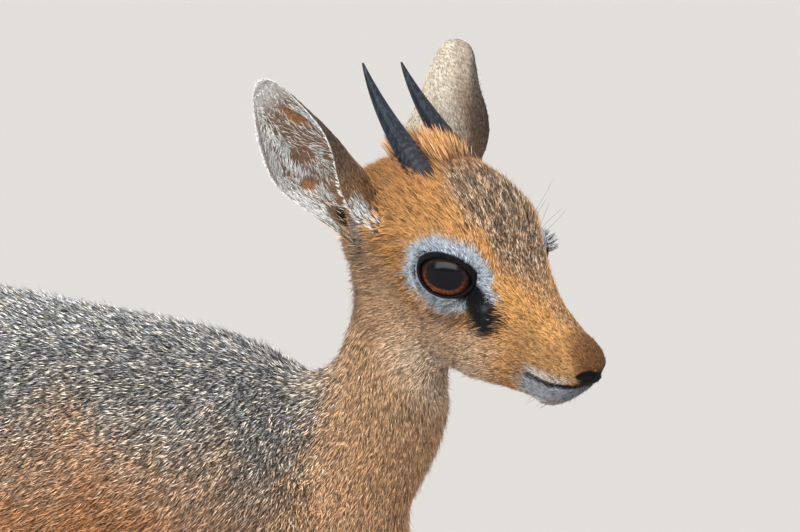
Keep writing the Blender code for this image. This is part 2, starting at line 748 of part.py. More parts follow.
def build():
    for leftover in list(bpy.data.objects):
        bpy.data.objects.remove(leftover)
    grizzled = material("grizzled back", (0.30, 0.27, 0.23), 0.85)
    tan = material("tan coat", (0.52, 0.33, 0.17), 0.85)
    rufous = material("rufous face", (0.60, 0.33, 0.12), 0.8)
    pale_ear = material("ear", (0.50, 0.42, 0.33), 0.85)
    black_horn = material("black horn", (0.045, 0.048, 0.055), 0.4)
    wet_eye = material("brown eye", (0.06, 0.022, 0.01), 0.08)
    coats = {"torso": grizzled, "neck": tan, "head": rufous, "tail": grizzled}
    coats.update({"ear_left": pale_ear, "ear_right": pale_ear})
    parts = []
    for name, piece in flesh().items():
        finish(piece, coats.get(name, tan))
        parts.append(piece)
    for side in ("left", "right"):
        eyeball = ball(f"eye_{side}", eye_centre(side), BALL_RADIUS, turn=sight_frame(side))
        finish(eyeball, wet_eye)
        parts.append(eyeball)
        made = horn(side)
        finish(made, black_horn)
        parts.append(made)
    for made in hooves():
        finish(made, black_horn)
        parts.append(made)
    bpy.context.view_layer.update()
    centre_on_floor(parts)


build()
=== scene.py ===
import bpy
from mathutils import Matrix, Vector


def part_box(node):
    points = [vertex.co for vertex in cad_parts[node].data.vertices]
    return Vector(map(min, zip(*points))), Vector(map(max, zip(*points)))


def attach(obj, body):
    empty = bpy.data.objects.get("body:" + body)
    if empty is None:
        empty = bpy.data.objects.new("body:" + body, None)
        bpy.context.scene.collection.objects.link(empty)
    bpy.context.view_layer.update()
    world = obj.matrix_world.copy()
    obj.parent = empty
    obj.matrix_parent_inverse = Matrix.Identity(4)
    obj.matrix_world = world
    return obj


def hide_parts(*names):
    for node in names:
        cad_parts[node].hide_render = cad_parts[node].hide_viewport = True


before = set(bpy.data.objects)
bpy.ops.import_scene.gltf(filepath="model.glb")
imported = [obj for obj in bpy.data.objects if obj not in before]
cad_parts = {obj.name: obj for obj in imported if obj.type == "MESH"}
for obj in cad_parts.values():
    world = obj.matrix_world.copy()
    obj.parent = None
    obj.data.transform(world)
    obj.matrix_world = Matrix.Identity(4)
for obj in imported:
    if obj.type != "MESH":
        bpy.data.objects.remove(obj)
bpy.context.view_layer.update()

import bpy
import numpy as np
from mathutils import Matrix

# A standing dik-dik in its coat. Shapes are worked out in millimetres in the body's own frame (x ahead of
# the withers, y to the animal's left, z above the floor) or in the head's (ahead, up and left of the eyes)
mm = 0.001
posture = {
    "yaw": -25.0,  # the head's turn and dip, in degrees
    "pitch": 30.0,
    "head": np.array([95.0, -10.0, 402.0]),
}


def unit(vector):
    vector = np.asarray(vector, float)
    return vector / np.maximum(np.linalg.norm(vector, axis=-1, keepdims=True), 1e-9)


def power(x, exponent):
    return np.sign(x) * np.abs(x) ** exponent


def soft(x, low, high):
    # 0 below low, 1 above high, and an S curve between them
    t = np.clip((x - low) / (high - low), 0, 1)
    return t * t * (3 - 2 * t)


def mound(points, centre, size):
    # 1 at the centre, falling off as a bell, with its own width along each axis
    return np.exp(-(((points - np.asarray(centre, float)) / size) ** 2).sum(axis=-1))


def mix(a, b, share):
    # from a to b by a share; colours and directions have three numbers to each share
    share = np.asarray(share, float)
    vectors = (3,) in (np.shape(a)[-1:], np.shape(b)[-1:])
    return a + (b - a) * (share[..., None] if vectors else share)


def through(stations, at):
    # rows read along a smooth curve through the stations, whose first column grows steadily
    table = np.array(stations, float)
    keys = table[:, 0]
    slopes = np.gradient(table, keys, axis=0)
    at = np.asarray(at, float)
    i = np.clip(np.searchsorted(keys, at, side="right") - 1, 0, len(keys) - 2)
    span = (keys[i + 1] - keys[i])[:, None]
    t = (at - keys[i])[:, None] / span
    return (
        (2 * t**3 - 3 * t**2 + 1) * table[i]
        + (t**3 - 2 * t**2 + t) * span * slopes[i]
        + (3 * t**2 - 2 * t**3) * table[i + 1]
        + (t**3 - t**2) * span * slopes[i + 1]
    )


def turnedAxes(yaw, pitch):
    # the head's forward, up and left directions: turned level by yaw, then dipped by pitch
    yaw, pitch = np.radians(yaw), np.radians(pitch)
    level = np.array([np.cos(yaw), np.sin(yaw), 0])
    forward = level * np.cos(pitch) - np.array([0, 0, np.sin(pitch)])
    up = level * np.sin(pitch) + np.array([0, 0, np.cos(pitch)])
    return np.array([forward, up, np.cross(up, forward)])


headAxes = turnedAxes(posture["yaw"], posture["pitch"])


def toBody(points):
    return posture["head"] + np.asarray(points, float) @ headAxes


def toHead(points):
    return (np.asarray(points, float) - posture["head"]) @ headAxes.T


def mirrored(vector, side):
    # a vector of the left side, or its mirror image on the right one
    return np.asarray(vector, float) * (1, 1, 1 if side == "left" else -1)


def folded(points):
    # both sides of the head laid on its left one
    return np.abs(points * (0, 0, 1)) + points * (1, 1, 0)


eye = {
    "radius": 13.0,
    "centre": np.array([0.8, 2.6, 18.5]),  # of the left eyeball: ahead, up, outward
    "lid": 1.35,
    "sight": np.array([0.42, 0.12, 0.90]),
    "slit": np.array([0.88, 0.19, -0.43]),  # from the rear corner to the tear corner
    "front": 12.2,
    "rear": 11.6,
    "upper": 8.5,
    "lower": 8.4,
}


def sightFrame(side):
    # the eye's own directions in the head: along the line of sight, along the slit, and up across it
    sight = unit(mirrored(eye["sight"], side))
    slit = mirrored(eye["slit"], side)
    slit = unit(slit - sight * (slit @ sight))
    rise = np.cross(sight, slit)
    return np.array([sight, slit, rise * np.sign(rise[1])])


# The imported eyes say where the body's own frame lies in the scene
corners = np.array([corner for node in ("eye_left", "eye_right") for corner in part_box(node)]) / mm
bodyShift = corners.mean(axis=0) - toBody((eye["centre"][0], eye["centre"][1], 0))


def addMesh(name, points, *faceSets, **attributes):
    # points in the body's frame; each face set is an array of corners; faces are turned outwards as a whole
    points = np.asarray(points, float)
    volume = 0.0
    for faces in faceSets:
        for k in range(1, faces.shape[1] - 1):
            a, b, c = (points[faces[:, i]] for i in (0, k, k + 1))
            volume += np.einsum("ij,ij->", a, np.cross(b, c))
    if volume < 0:
        faceSets = [faces[:, ::-1] for faces in faceSets]
    mesh = bpy.data.meshes.new(name)
    loops = np.concatenate([faces.ravel() for faces in faceSets]).astype(np.int32)
    sizes = np.concatenate([np.full(len(faces), faces.shape[1]) for faces in faceSets])
    mesh.vertices.add(len(points))
    mesh.vertices.foreach_set("co", ((points + bodyShift) * mm).astype(np.float32).ravel())
    mesh.loops.add(len(loops))
    mesh.loops.foreach_set("vertex_index", loops)
    mesh.polygons.add(len(sizes))
    mesh.polygons.foreach_set("loop_start", (np.cumsum(sizes) - sizes).astype(np.int32))
    mesh.update(calc_edges=True)
    mesh.polygons.foreach_set("use_smooth", np.ones(len(sizes), bool))
    for key, values in attributes.items():
        setAttribute(mesh, key, values)
    made = bpy.data.objects.new(name, mesh)
    bpy.context.scene.collection.objects.link(made)
    return made


def setAttribute(mesh, name, values):
    # one number, three or four of them at each point
    values = np.asarray(values, np.float32)
    kind, slot = {1: ("FLOAT", "value"), 3: ("FLOAT_VECTOR", "vector"), 4: ("FLOAT_COLOR", "color")}[
        values.shape[1] if values.ndim > 1 else 1
    ]
    made = mesh.attributes.get(name) or mesh.attributes.new(name, kind, "POINT")
    made.data.foreach_set(slot, values.ravel())


def readPoints(mesh):
    points = np.zeros(len(mesh.vertices) * 3, np.float32)
    mesh.vertices.foreach_get("co", points)
    return points.reshape(-1, 3) / mm - bodyShift


def readAttribute(mesh, name, width, slot):
    values = np.zeros(len(mesh.vertices) * width, np.float32)
    mesh.attributes[name].data.foreach_get(slot, values)
    return values.reshape(-1, width)


def capped(rings):
    # faces between the rings, and a fan from each end ring to a point at its middle
    count, sides = rings.shape[:2]
    i, j = np.arange(count - 1)[:, None] * sides, np.arange(sides)
    k = (j + 1) % sides
    quads = np.stack([i + j, i + k, i + k + sides, i + j + sides], axis=-1).reshape(-1, 4)
    ends = [np.full(sides, count * sides), np.full(sides, count * sides + 1)]
    top = (count - 1) * sides
    fans = np.vstack([np.column_stack([j, ends[0], k]), np.column_stack([top + j, top + k, ends[1]])])
    points = np.vstack([rings.reshape(-1, 3), rings[0].mean(axis=0), rings[-1].mean(axis=0)])
    return points, quads, fans


def applyModifiers(target):
    graph = bpy.context.evaluated_depsgraph_get()
    made = bpy.data.meshes.new_from_object(target.evaluated_get(graph))
    target.modifiers.clear()
    target.data = made


def fuse(target, others):
    # one Boolean union of closed meshes, which are then removed
    group = bpy.data.collections.new("pieces")
    bpy.context.scene.collection.children.link(group)
    for other in others:
        bpy.context.scene.collection.objects.unlink(other)
        group.objects.link(other)
    union = target.modifiers.new("fuse", "BOOLEAN")
    union.operand_type = "COLLECTION"
    union.collection = group
    union.operation = "UNION"
    union.solver = "MANIFOLD"
    bpy.context.view_layer.update()
    applyModifiers(target)
    for other in others:
        bpy.data.objects.remove(other)
    bpy.data.collections.remove(group)


def squareRing(centre, wide, rise, side, upper, lower, top, bottom, half):
    # a ring whose side and height follow powers of cosine and sine, with its own power above and below
    bend = np.where(rise > 0, 2 / upper, 2 / lower)
    height = wide + np.where(rise > 0, top - wide, wide - bottom) * power(rise, bend)
    return centre + 0 * rise, height, half * power(side, bend)


# Trunk and limbs
trunk = {
    # ahead, top, widest level, bottom, half width
    "stations": [
        (-287, 338, 326, 312, 13),
        (-274, 360, 332, 290, 34),
        (-250, 377, 332, 272, 46),
        (-215, 388, 328, 261, 53),
        (-170, 393, 322, 246, 57),
        (-120, 387, 315, 232, 59),
        (-70, 380, 308, 222, 57),
        (-25, 374, 302, 217, 53),
        (8, 366, 300, 220, 48),
        (34, 348.5, 297, 232, 40),
        (54, 325, 292, 249, 29),
        (66, 304, 288, 268, 14),
    ],
    "roundness": (2.1, 2.0),
    "depth": 3.0,  # of the coat over the skin
    "sides": 80,
    "rings": 90,
}
neck = {
    # middle ahead, left and up, half depth fore and aft, half width
    "stations": [
        (-8, 0, 298, 43, 38),
        (26, 0, 316, 40, 34),
        (50, 0, 337, 31.5, 27),
        (59, 1, 357, 25, 22),
        (61.5, 3, 378, 23.5, 20.5),
        (60, 6, 398, 22, 19.5),
        (58, 8, 412, 17, 17),
    ],
    "depth": 2.4,
}
tail = {
    "stations": [
        (-266, 0, 352, 9, 10),
        (-285, 0, 349, 9, 10),
        (-297, 0, 339, 8, 9),
        (-303, 0, 325, 7.2, 8),
        (-305, 0, 311, 5.5, 6),
        (-306, 0, 301, 2.5, 3),
    ],
    "depth": 1.6,
}
legs = {
    "front": [
        (-10, 24, 342, 19, 9),
        (2, 37, 318, 25, 12),
        (14, 41, 284, 27, 14),
        (10, 43, 250, 23, 14),
        (0, 41, 225, 18, 12.5),
        (1, 37, 195, 14, 11),
        (4, 34, 162, 11, 9.2),
        (7, 33, 139, 9.4, 8.4),
        (8, 33, 126, 9.6, 8.8),
        (7, 33, 112, 7.8, 7.4),
        (6, 33, 82, 6.9, 6.5),
        (6, 33, 57, 7.1, 6.8),
        (6, 33, 45, 8.8, 8.1),
        (12, 33, 32, 7.6, 7.3),
        (17, 34, 22, 8.6, 8.2),
        (20, 34, 11, 9.2, 8.6),
    ],
    "rear": [
        (-232, 24, 366, 28, 13),
        (-224, 38, 332, 40, 18),
        (-212, 46, 292, 43, 20),
        (-203, 46, 256, 35, 18.5),
        (-207, 44, 226, 26, 16),
        (-223, 40, 198, 18.5, 13),
        (-244, 37, 172, 13, 10.5),
        (-262, 36, 151, 12, 9.2),
        (-264, 36, 136, 11.2, 8.8),
        (-258, 36, 115, 8.6, 7.7),
        (-252, 36, 86, 7.5, 7.1),
        (-248, 36, 61, 7.7, 7.3),
        (-246, 36, 47, 9.3, 8.4),
        (-240, 36, 34, 8, 7.7),
        (-235, 37, 23, 8.8, 8.3),
        (-232, 37, 11, 9.3, 8.7),
    ],
    "steps": {"front_left": 7, "front_right": -6, "rear_left": -8, "rear_right": 9},
    "depth": (3.0, 0.7),  # of the coat, high on the limb and from the knee down
    "thinning": (130, 250),  # the levels between which it thins
    "swing": (260, 20),  # the levels between which a step moves the limb more and more
    "coronet": 16.0,
}
skinStyle = {
    "perSpan": 5,  # rings of a limb from one station to the next
    "tubeSides": 40,
    "thinnest": 0.8,
    "voxel": 2.55,
    "easing": 40,  # rounds of smoothing where trunk and limbs join
    "easedAbove": (165, 225),
    "joinReach": 6.5,  # how near to one another two skins are smoothed, and in how many rounds
    "joinRounds": 30,
    "throatRounds": 110,
    "throatTop": 400,
}


def tubeRings(stations, depth):
    # a limb: rings square to a smooth path, kept level from side to side
    table = np.array(stations, float)
    keys = np.arange(len(table))
    at = np.linspace(0, keys[-1], keys[-1] * skinStyle["perSpan"] + 1)
    path = through(np.column_stack([keys, table]), at)[:, 1:]
    along = unit(np.gradient(path[:, :3], axis=0))
    ahead = unit(np.cross(np.array([0, 1, 0]), along))
    sideways = np.cross(along, ahead)
    turn = np.linspace(0, 2 * np.pi, skinStyle["tubeSides"], endpoint=False)
    size = np.maximum(path[:, 3:5] - np.asarray(depth).reshape(-1, 1), skinStyle["thinnest"])
    return (
        path[:, None, :3]
        + ahead[:, None] * size[:, None, :1] * np.cos(turn)[None, :, None]
        + sideways[:, None] * size[:, None, 1:] * np.sin(turn)[None, :, None]
    )


def trunkRings():
    # from rump to breast, each ring a rounded square through its station's top, sides and bottom, drawn in
    # by the coat's depth
    first, last = trunk["stations"][0][0], trunk["stations"][-1][0]
    depth = trunk["depth"]
    rows = through(trunk["stations"], np.linspace(first, last, trunk["rings"]))
    turn = np.linspace(0, 2 * np.pi, trunk["sides"], endpoint=False)
    ahead, top, wide, bottom, half = (rows[:, i : i + 1] for i in range(5))
    ahead = ahead + depth * (1 - 2 * (ahead - first) / (last - first))
    upper, lower = trunk["roundness"]
    x, z, y = squareRing(
        ahead, wide, np.sin(turn), np.cos(turn), upper, lower, top - depth, bottom + depth, half - depth
    )
    return np.stack([x, y, z], axis=-1)


def legRings(name, shift):
    # a limb's tube, moved towards its foot by the step, under a coat that thins downwards
    stations = np.array(legs["front" if name.startswith("front") else "rear"], float)
    high, low = legs["swing"]
    stations[:, 0] += shift * np.clip((high - stations[:, 2]) / (high - low), 0, 1)
    stations[:, 1] *= 1 if name.endswith("left") else -1
    stations[-1, 2] = legs["coronet"]
    keys = np.linspace(0, 1, len(stations))
    at = np.linspace(0, 1, (len(stations) - 1) * skinStyle["perSpan"] + 1)
    thick, thin = legs["depth"]
    levels = np.interp(at, keys, stations[:, 2])
    return tubeRings(stations, thin + (thick - thin) * soft(levels, *legs["thinning"]))


def smoothed(points, edges, weight, rounds):
    # each round moves a point half way to the mean of its neighbours, by its weight
    count = np.bincount(edges.ravel(), minlength=len(points))[:, None]
    for _ in range(rounds):
        total = np.zeros_like(points)
        for axis in range(3):
            total[:, axis] = np.bincount(edges[:, 0], points[edges[:, 1], axis], len(points))
            total[:, axis] += np.bincount(edges[:, 1], points[edges[:, 0], axis], len(points))
        points = points + 0.5 * weight[:, None] * (total / np.maximum(count, 1) - points)
    return points


def readEdges(mesh):
    edges = np.zeros(len(mesh.edges) * 2, np.int32)
    mesh.edges.foreach_get("vertices", edges)
    return edges.reshape(-1, 2)


def writePoints(mesh, points):
    mesh.vertices.foreach_set("co", ((points + bodyShift) * mm).astype(np.float32).ravel())
    mesh.update()


def bodyCore():
    # trunk, neck, tail and legs fused, made one even mesh and eased where they join
    core = addMesh("skin", *capped(trunkRings()))
    limbs = [addMesh("neck", *capped(tubeRings(neck["stations"], neck["depth"])))]
    limbs.append(addMesh("tail", *capped(tubeRings(tail["stations"], tail["depth"]))))
    limbs += [addMesh(name, *capped(legRings(name, shift))) for name, shift in legs["steps"].items()]
    fuse(core, limbs)
    even = core.modifiers.new("even", "REMESH")
    even.mode = "VOXEL"
    even.voxel_size = skinStyle["voxel"] * mm
    applyModifiers(core)
    points = readPoints(core.data)
    weight = soft(points[:, 2], *skinStyle["easedAbove"])
    writePoints(core.data, smoothed(points, readEdges(core.data), weight, skinStyle["easing"]))
    # place says what a point belongs to: here the body, then the skull, or a spot on an ear
    setAttribute(core.data, "place", np.zeros((len(points), 3)))
    return core


# Head
skull = {
    # ahead of the eyes, top, widest level, bottom, half width, roundness above and below
    "stations": [
        (-61, 4, -5, -14, 11, 2.0, 2.0),
        (-54, 13, -4, -27, 19, 2.0, 2.0),
        (-45, 21, -3, -35, 23, 2.1, 1.9),
        (-34, 28, 0, -39, 25.5, 2.3, 1.8),
        (-20, 31, 3, -42, 27, 2.5, 1.8),
        (-4, 28.5, 4, -43, 27.5, 2.6, 1.8),
        (10, 22.5, 1, -42, 23.5, 2.4, 1.85),
        (24, 15.5, -3, -37, 18.5, 2.2, 1.95),
        (38, 11.2, -6, -31, 14.5, 2.1, 2.05),
        (50, 9.2, -7, -26.3, 12.5, 2.1, 2.2),
        (59.5, 7, -6, -22.3, 11, 2.2, 2.3),
        (65.5, 4, -3.5, -13, 8.6, 2.2, 2.2),
        (68.6, 1.6, -1.4, -5.5, 5.2, 2.0, 2.0),
    ],
    # soft rises (and hollows) on both sides: ahead, up, side, radius, height
    "rises": [
        (4, 24, 20, 9, 1.6),
        (26, -6, 17, 8, 1.2),
        (-8, -24, 20, 13, 1.6),
        (61.2, 3, 7, 6, 1.0),
        (54.5, -20.5, 7, 7, 1.0),
        (-15, 15, 26, 8, -0.9),
        (41, 1, 14, 9, -0.8),
        (58, -9, 10, 4.5, 0.8),
        (50, -18, 10, 5, 0.5),
        (17, 17, 14, 6, 0.6),
        (12, -13, 22, 6, 0.6),
        (66, -10.5, 0, 4.5, -0.9),
    ],
    "rings": 210,
    "sides": 160,
    "crowding": 1.35,  # above 1 the rings stand closer towards the nose
    "dome": (1.3, 12),  # how far the nose's end bows out, and in how many rings
    "depth": 0.9,  # of the coat over the skin
}
mouth = {
    "corner": (45.5, -15.0),
    "front": (67.3, -7.5),
    "sag": 1.6,
    "depth": 2.1,
    "width": 0.8,
}
nostril = {"place": (67.8, -1.6, 5.2), "slant": (0.70, 0.50, -0.5), "long": 3.9, "wide": 1.55, "depth": 2.8}
gland = {"place": (21.5, -3.5, 20.3), "slant": (0.75, -0.35, -0.45), "long": 3.2, "wide": 0.9, "depth": 1.1}


def almond(points):
    # where a head point lies round the eye of its side: how many times the lids' opening it is out from the
    # line of sight, its angle there (0 at the tear corner, up a quarter turn), and its distance from the
    # eyeball's middle
    q = folded(points) - eye["centre"]
    sight, slit, rise = sightFrame("left")
    b, c = q @ slit, q @ rise
    b = b / np.where(b > 0, eye["front"], eye["rear"])
    c = c / np.where(c > 0, eye["upper"], eye["lower"])
    # far behind the eye the cone of sight opens the other way, so it counts as outside
    out = np.where(q @ sight > 0, np.hypot(b, c), 9.0)
    return out, np.arctan2(c, b), np.linalg.norm(q, axis=-1)


def eyeMiddles(points):
    # the middle of the eyeball on each head point's own side
    side = np.where(points[..., 2:] < 0, -1.0, 1.0)
    return eye["centre"] * np.concatenate([np.ones_like(side), np.ones_like(side), side], axis=-1)


def pitShare(points, pit):
    # a comma-shaped pit on both sides: 1 in its middle, 0 outside
    q = folded(points) - np.array(pit["place"])
    slant = unit(pit["slant"])
    along = q @ slant
    across = np.linalg.norm(q - along[..., None] * slant, axis=-1)
    return np.exp(-((along / pit["long"]) ** 4) - (across / pit["wide"]) ** 2)


def lipHeight(points):
    # how far a head point lies above the line of the mouth, and how surely it is on the lips
    t = np.clip((points[..., 0] - mouth["corner"][0]) / (mouth["front"][0] - mouth["corner"][0]), 0, 1)
    level = mouth["corner"][1] + (mouth["front"][1] - mouth["corner"][1]) * t - 4 * mouth["sag"] * t * (1 - t)
    return points[..., 1] - level, soft(points[..., 0], mouth["corner"][0] - 1.5, mouth["corner"][0] + 2)


def skullPoints():
    # rings from the nape to the nose, closed by a low dome, with brows, cheeks, lips, nostrils and the seats
    # of the lids raised or sunk in them
    share = np.linspace(0, 1, skull["rings"])
    first, last = skull["stations"][0][0], skull["stations"][-1][0]
    rows = through(skull["stations"], first + (last - first) * (1 - (1 - share) ** skull["crowding"]))
    turn = np.linspace(0, 2 * np.pi, skull["sides"], endpoint=False)[None]
    ahead, top, wide, bottom, half, upper, lower = (rows[:, i : i + 1] for i in range(7))
    f, u, s = squareRing(ahead, wide, np.sin(turn), np.cos(turn), upper, lower, top, bottom, half)
    points = np.stack([f, u, s], axis=-1)
    bulge, count = skull["dome"]
    bow = np.linspace(0, np.pi / 2, count + 2)[1:-1, None, None]
    nose = points[-1].mean(axis=0)
    dome = nose + (points[-1] - nose) * np.cos(bow) + np.array([bulge, 0, 0]) * np.sin(bow)
    points = np.concatenate([points, dome])
    middle = np.stack([ahead, wide, 0 * wide], axis=-1)
    middle = np.concatenate([middle, np.repeat(nose[None, None], count, 0)])
    away = unit(points - middle)
    for f, u, s, radius, height in skull["rises"]:
        for sign in (1, -1):
            points = points + away * (height * mound(points, (f, u, s * sign), radius))[..., None]
    points = points - away * skull["depth"] * (1 - 0.5 * soft(points[..., :1], 50, 64))
    # the skin lies on the eyeballs as lids, and behind them inside the opening
    for side in ("left", "right"):
        centre = mirrored(eye["centre"], side)
        reach = eye["radius"] + eye["lid"]
        q = points - centre
        distance = np.linalg.norm(q, axis=-1, keepdims=True)
        lifted = 0.5 * (distance + reach + np.sqrt((distance - reach) ** 2 + 2.0))
        near = np.clip((reach + 8 - distance) / 8, 0, 1)
        outward = np.clip(q[..., 2:] * np.sign(centre[2]) / 4, 0, 1)
        points = points + q / distance * (lifted - distance) * near * outward
    out, _, distance = almond(points)
    inner = (1 - soft(out, 0.90, 1.08)) * (distance < eye["radius"] + 6)
    centre = eyeMiddles(points)
    q = points - centre
    sunk = centre + unit(q) * (eye["radius"] - 1.2)
    points = points + (sunk - points) * inner[..., None]
    # mouth, nostrils and scent glands
    height, onLips = lipHeight(points)
    groove = np.exp(-((height / mouth["width"]) ** 2)) * onLips
    lips = 0.45 * np.exp(-(((np.abs(height) - 1.7) / 1.1) ** 2)) * onLips
    points = points + away * (lips - mouth["depth"] * groove)[..., None]
    for pit in (nostril, gland):
        points = points - away * (pit["depth"] * pitShare(points, pit))[..., None]
    return points


ears = {
    "base": (-28.0, -7.0, 13.5),
    "bow": np.array([-2.2, -4.6, 0.0]),
    "length": {"left": 82.0, "right": 83.2},
    "axis": {"right": (-0.80, 0.437, 0.465), "left": (-0.70, 0.565, 0.44)},
    "facing": {"right": (0.50, 0.10, 0.86), "left": (0.02, -0.15, 0.98)},
    "thick": 1.15,
    "fold": 0.75,  # height of the ribs inside the cup
    "steps": 76,
    "across": 49,
    # along the ear: radius of its cup, half angle that the cup curls through, turn of its slit, in degrees
    "sheet": [
        (0.0, 9.5, 140, -32),
        (0.15, 11, 143, -32),
        (0.3, 12, 136, -30),
        (0.45, 14, 114, -24),
        (0.55, 15.4, 98, -17),
        (0.66, 15.0, 84, -10),
        (0.77, 12.8, 73, -5),
    ],
    "tips": {
        "left": [(0.87, 11.4, 66, -2), (0.94, 10.0, 60, 0), (0.98, 7.4, 54, 0), (1.0, 4.6, 45, 0)],
        "right": [(0.87, 10.2, 62, -2), (0.94, 8.0, 52, 0), (0.98, 5.6, 46, 0), (1.0, 2.8, 40, 0)],
    },
    "broad": {"left": 1.07, "right": 1.0},
    # bare patches in the cup and its dark slit: place along and across, their half sizes, slant, colour
    "patches": [
        (0.76, 0.16, 0.085, 0.15, -1.5, (158, 112, 74)),
        (0.56, -0.33, 0.055, 0.24, -1.0, (140, 108, 88)),
        (0.44, -0.62, 0.045, 0.13, 0.0, (172, 118, 76)),
        (0.22, -0.60, 0.07, 0.13, 0.0, (40, 32, 28)),
    ],
}


def earPoint(side, t, v, way):
    # a point of the ear, t from root to tip and v from its rear margin (-1) to its front one (1): the ear is
    # part of a tube of radius r that curls through an angle, drawn along a bowed line; way is 1 on the
    # outer face and -1 in the cup
    _, cup, curl, twist = through(ears["sheet"] + ears["tips"][side], t.ravel()).T.reshape(4, *t.shape)
    cup = cup * ears["broad"][side]
    curl, twist = np.radians(curl), np.radians(twist)
    axis = unit(mirrored(ears["axis"][side], side))
    facing = mirrored(ears["facing"][side], side)
    facing = unit(facing - axis * (facing @ axis))
    wide = np.cross(axis, facing) * (1 if side == "left" else -1)
    openWay = facing * np.cos(twist)[..., None] + wide * np.sin(twist)[..., None]
    widthWay = wide * np.cos(twist)[..., None] - facing * np.sin(twist)[..., None]
    line = mirrored(ears["base"], side) + axis * (ears["length"][side] * t)[..., None]
    line = line + ears["bow"] * (4 * t * (1 - t))[..., None]
    shell = cup + 0.5 * way * ears["thick"] * (1 - 0.6 * v**4)
    ribs = ears["fold"] * np.cos(3.5 * np.pi * v) * np.sin(np.pi * np.clip(t * 1.15, 0, 1)) * (1 - v**4)
    shell = shell - (way < 0) * np.clip(ribs, 0, 1)
    angle = curl * v
    settle = 0.5 * cup * (1 - np.cos(curl))
    return (
        line
        + widthWay * (shell * np.sin(angle))[..., None]
        + openWay * (cup - shell * np.cos(angle) - settle)[..., None]
    )


def earMesh(side):
    # both faces of the ear's sheet, joined by a strip round its rim; place holds how far along and across
    # the ear a point lies, and a number that tells its side and face
    steps, across = ears["steps"], ears["across"]
    t, v = np.meshgrid(np.linspace(0, 1, steps), np.linspace(-1, 1, across), indexing="ij")
    layers = [earPoint(side, t, v, way) for way in (1, -1)]
    i, j = np.arange(steps - 1)[:, None] * across, np.arange(across - 1)
    a = (i + j).ravel()
    quads = np.column_stack([a, a + 1, a + across + 1, a + across])
    layer = steps * across
    rim = np.concatenate(
        [
            np.arange(steps) * across,
            (steps - 1) * across + np.arange(1, across),
            np.arange(steps - 2, -1, -1) * across + across - 1,
            np.arange(across - 2, 0, -1),
        ]
    )
    after = np.roll(rim, -1)
    edge = np.column_stack([rim, after, after + layer, rim + layer])
    code = {"left": 2, "right": 4}[side]
    place = [np.stack([t, v, np.full_like(t, code + way)], axis=-1) for way in (0.5, -0.5)]
    return addMesh(
        "ear_" + side,
        toBody(np.array(layers).reshape(-1, 3)),
        quads,
        quads[:, ::-1] + layer,
        edge,
        place=np.array(place).reshape(-1, 3),
    )


def cellCodes(cells):
    # one whole number for each cell of a grid
    return ((cells[..., 0] + 2000) * 4000 + cells[..., 1] + 2000) * 4000 + cells[..., 2] + 2000


def nearCells(points, others, cell):
    # true where a point lies in, or beside, a cell that holds one of the others
    steps = np.stack(np.meshgrid(*[[-1, 0, 1]] * 3), axis=-1).reshape(-1, 3)
    mine = cellCodes(np.floor(points / cell).astype(np.int64))
    theirs = np.unique(cellCodes(np.floor(others / cell).astype(np.int64)[:, None] + steps))
    return np.isin(mine, theirs)


def makeSkin():
    # body, skull and ears fused into one skin, which is smoothed where they meet but not round the eyes
    core = bodyCore()
    points, quads, fans = capped(toBody(skullPoints()))
    skullPiece = addMesh("skull", points, quads, fans, place=np.tile([0, 0, 1.0], (len(points), 1)))
    earPieces = [earMesh("left"), earMesh("right")]
    corePoints, skullOnly = readPoints(core.data), readPoints(skullPiece.data)
    earOnly = np.vstack([readPoints(ear.data) for ear in earPieces])
    fuse(core, [skullPiece, *earPieces])
    mesh = core.data
    points, edges = readPoints(mesh), readEdges(mesh)
    reach = skinStyle["joinReach"]
    atNeck = nearCells(points, corePoints, reach) & nearCells(points, skullOnly, reach)
    atEars = nearCells(points, earOnly, 0.5 * reach) & nearCells(points, skullOnly, 0.5 * reach)
    eyeOut, _, eyeDistance = almond(toHead(points))
    clear = soft(np.where(eyeDistance < 22, eyeOut, 9), 1.5, 2.2)
    weight = (atNeck | atEars) * 1.0 * clear
    weight = smoothed(np.repeat(weight[:, None], 3, axis=1), edges, np.ones(len(points)), 8)[:, 0]
    points = smoothed(points, edges, np.clip(weight, 0, 1), skinStyle["joinRounds"])
    throat = weight * soft(skinStyle["throatTop"] - points[:, 2], 0, 12) * clear
    writePoints(mesh, smoothed(points, edges, np.clip(throat, 0, 1), skinStyle["throatRounds"]))
    mesh.shade_smooth()
    return core


skin = makeSkin()
print("skin", len(skin.data.vertices), "points", len(skin.data.polygons), "faces")
skinPoints = readPoints(skin.data)
skinPlace = readAttribute(skin.data, "place", 3, "vector")


# Markings, as colours measured in 0-255 and turned into linear light
def shade(*rgb):
    c = np.array(rgb, float) / 255
    return np.where(c <= 0.04045, c / 12.92, ((c + 0.055) / 1.055) ** 2.4)


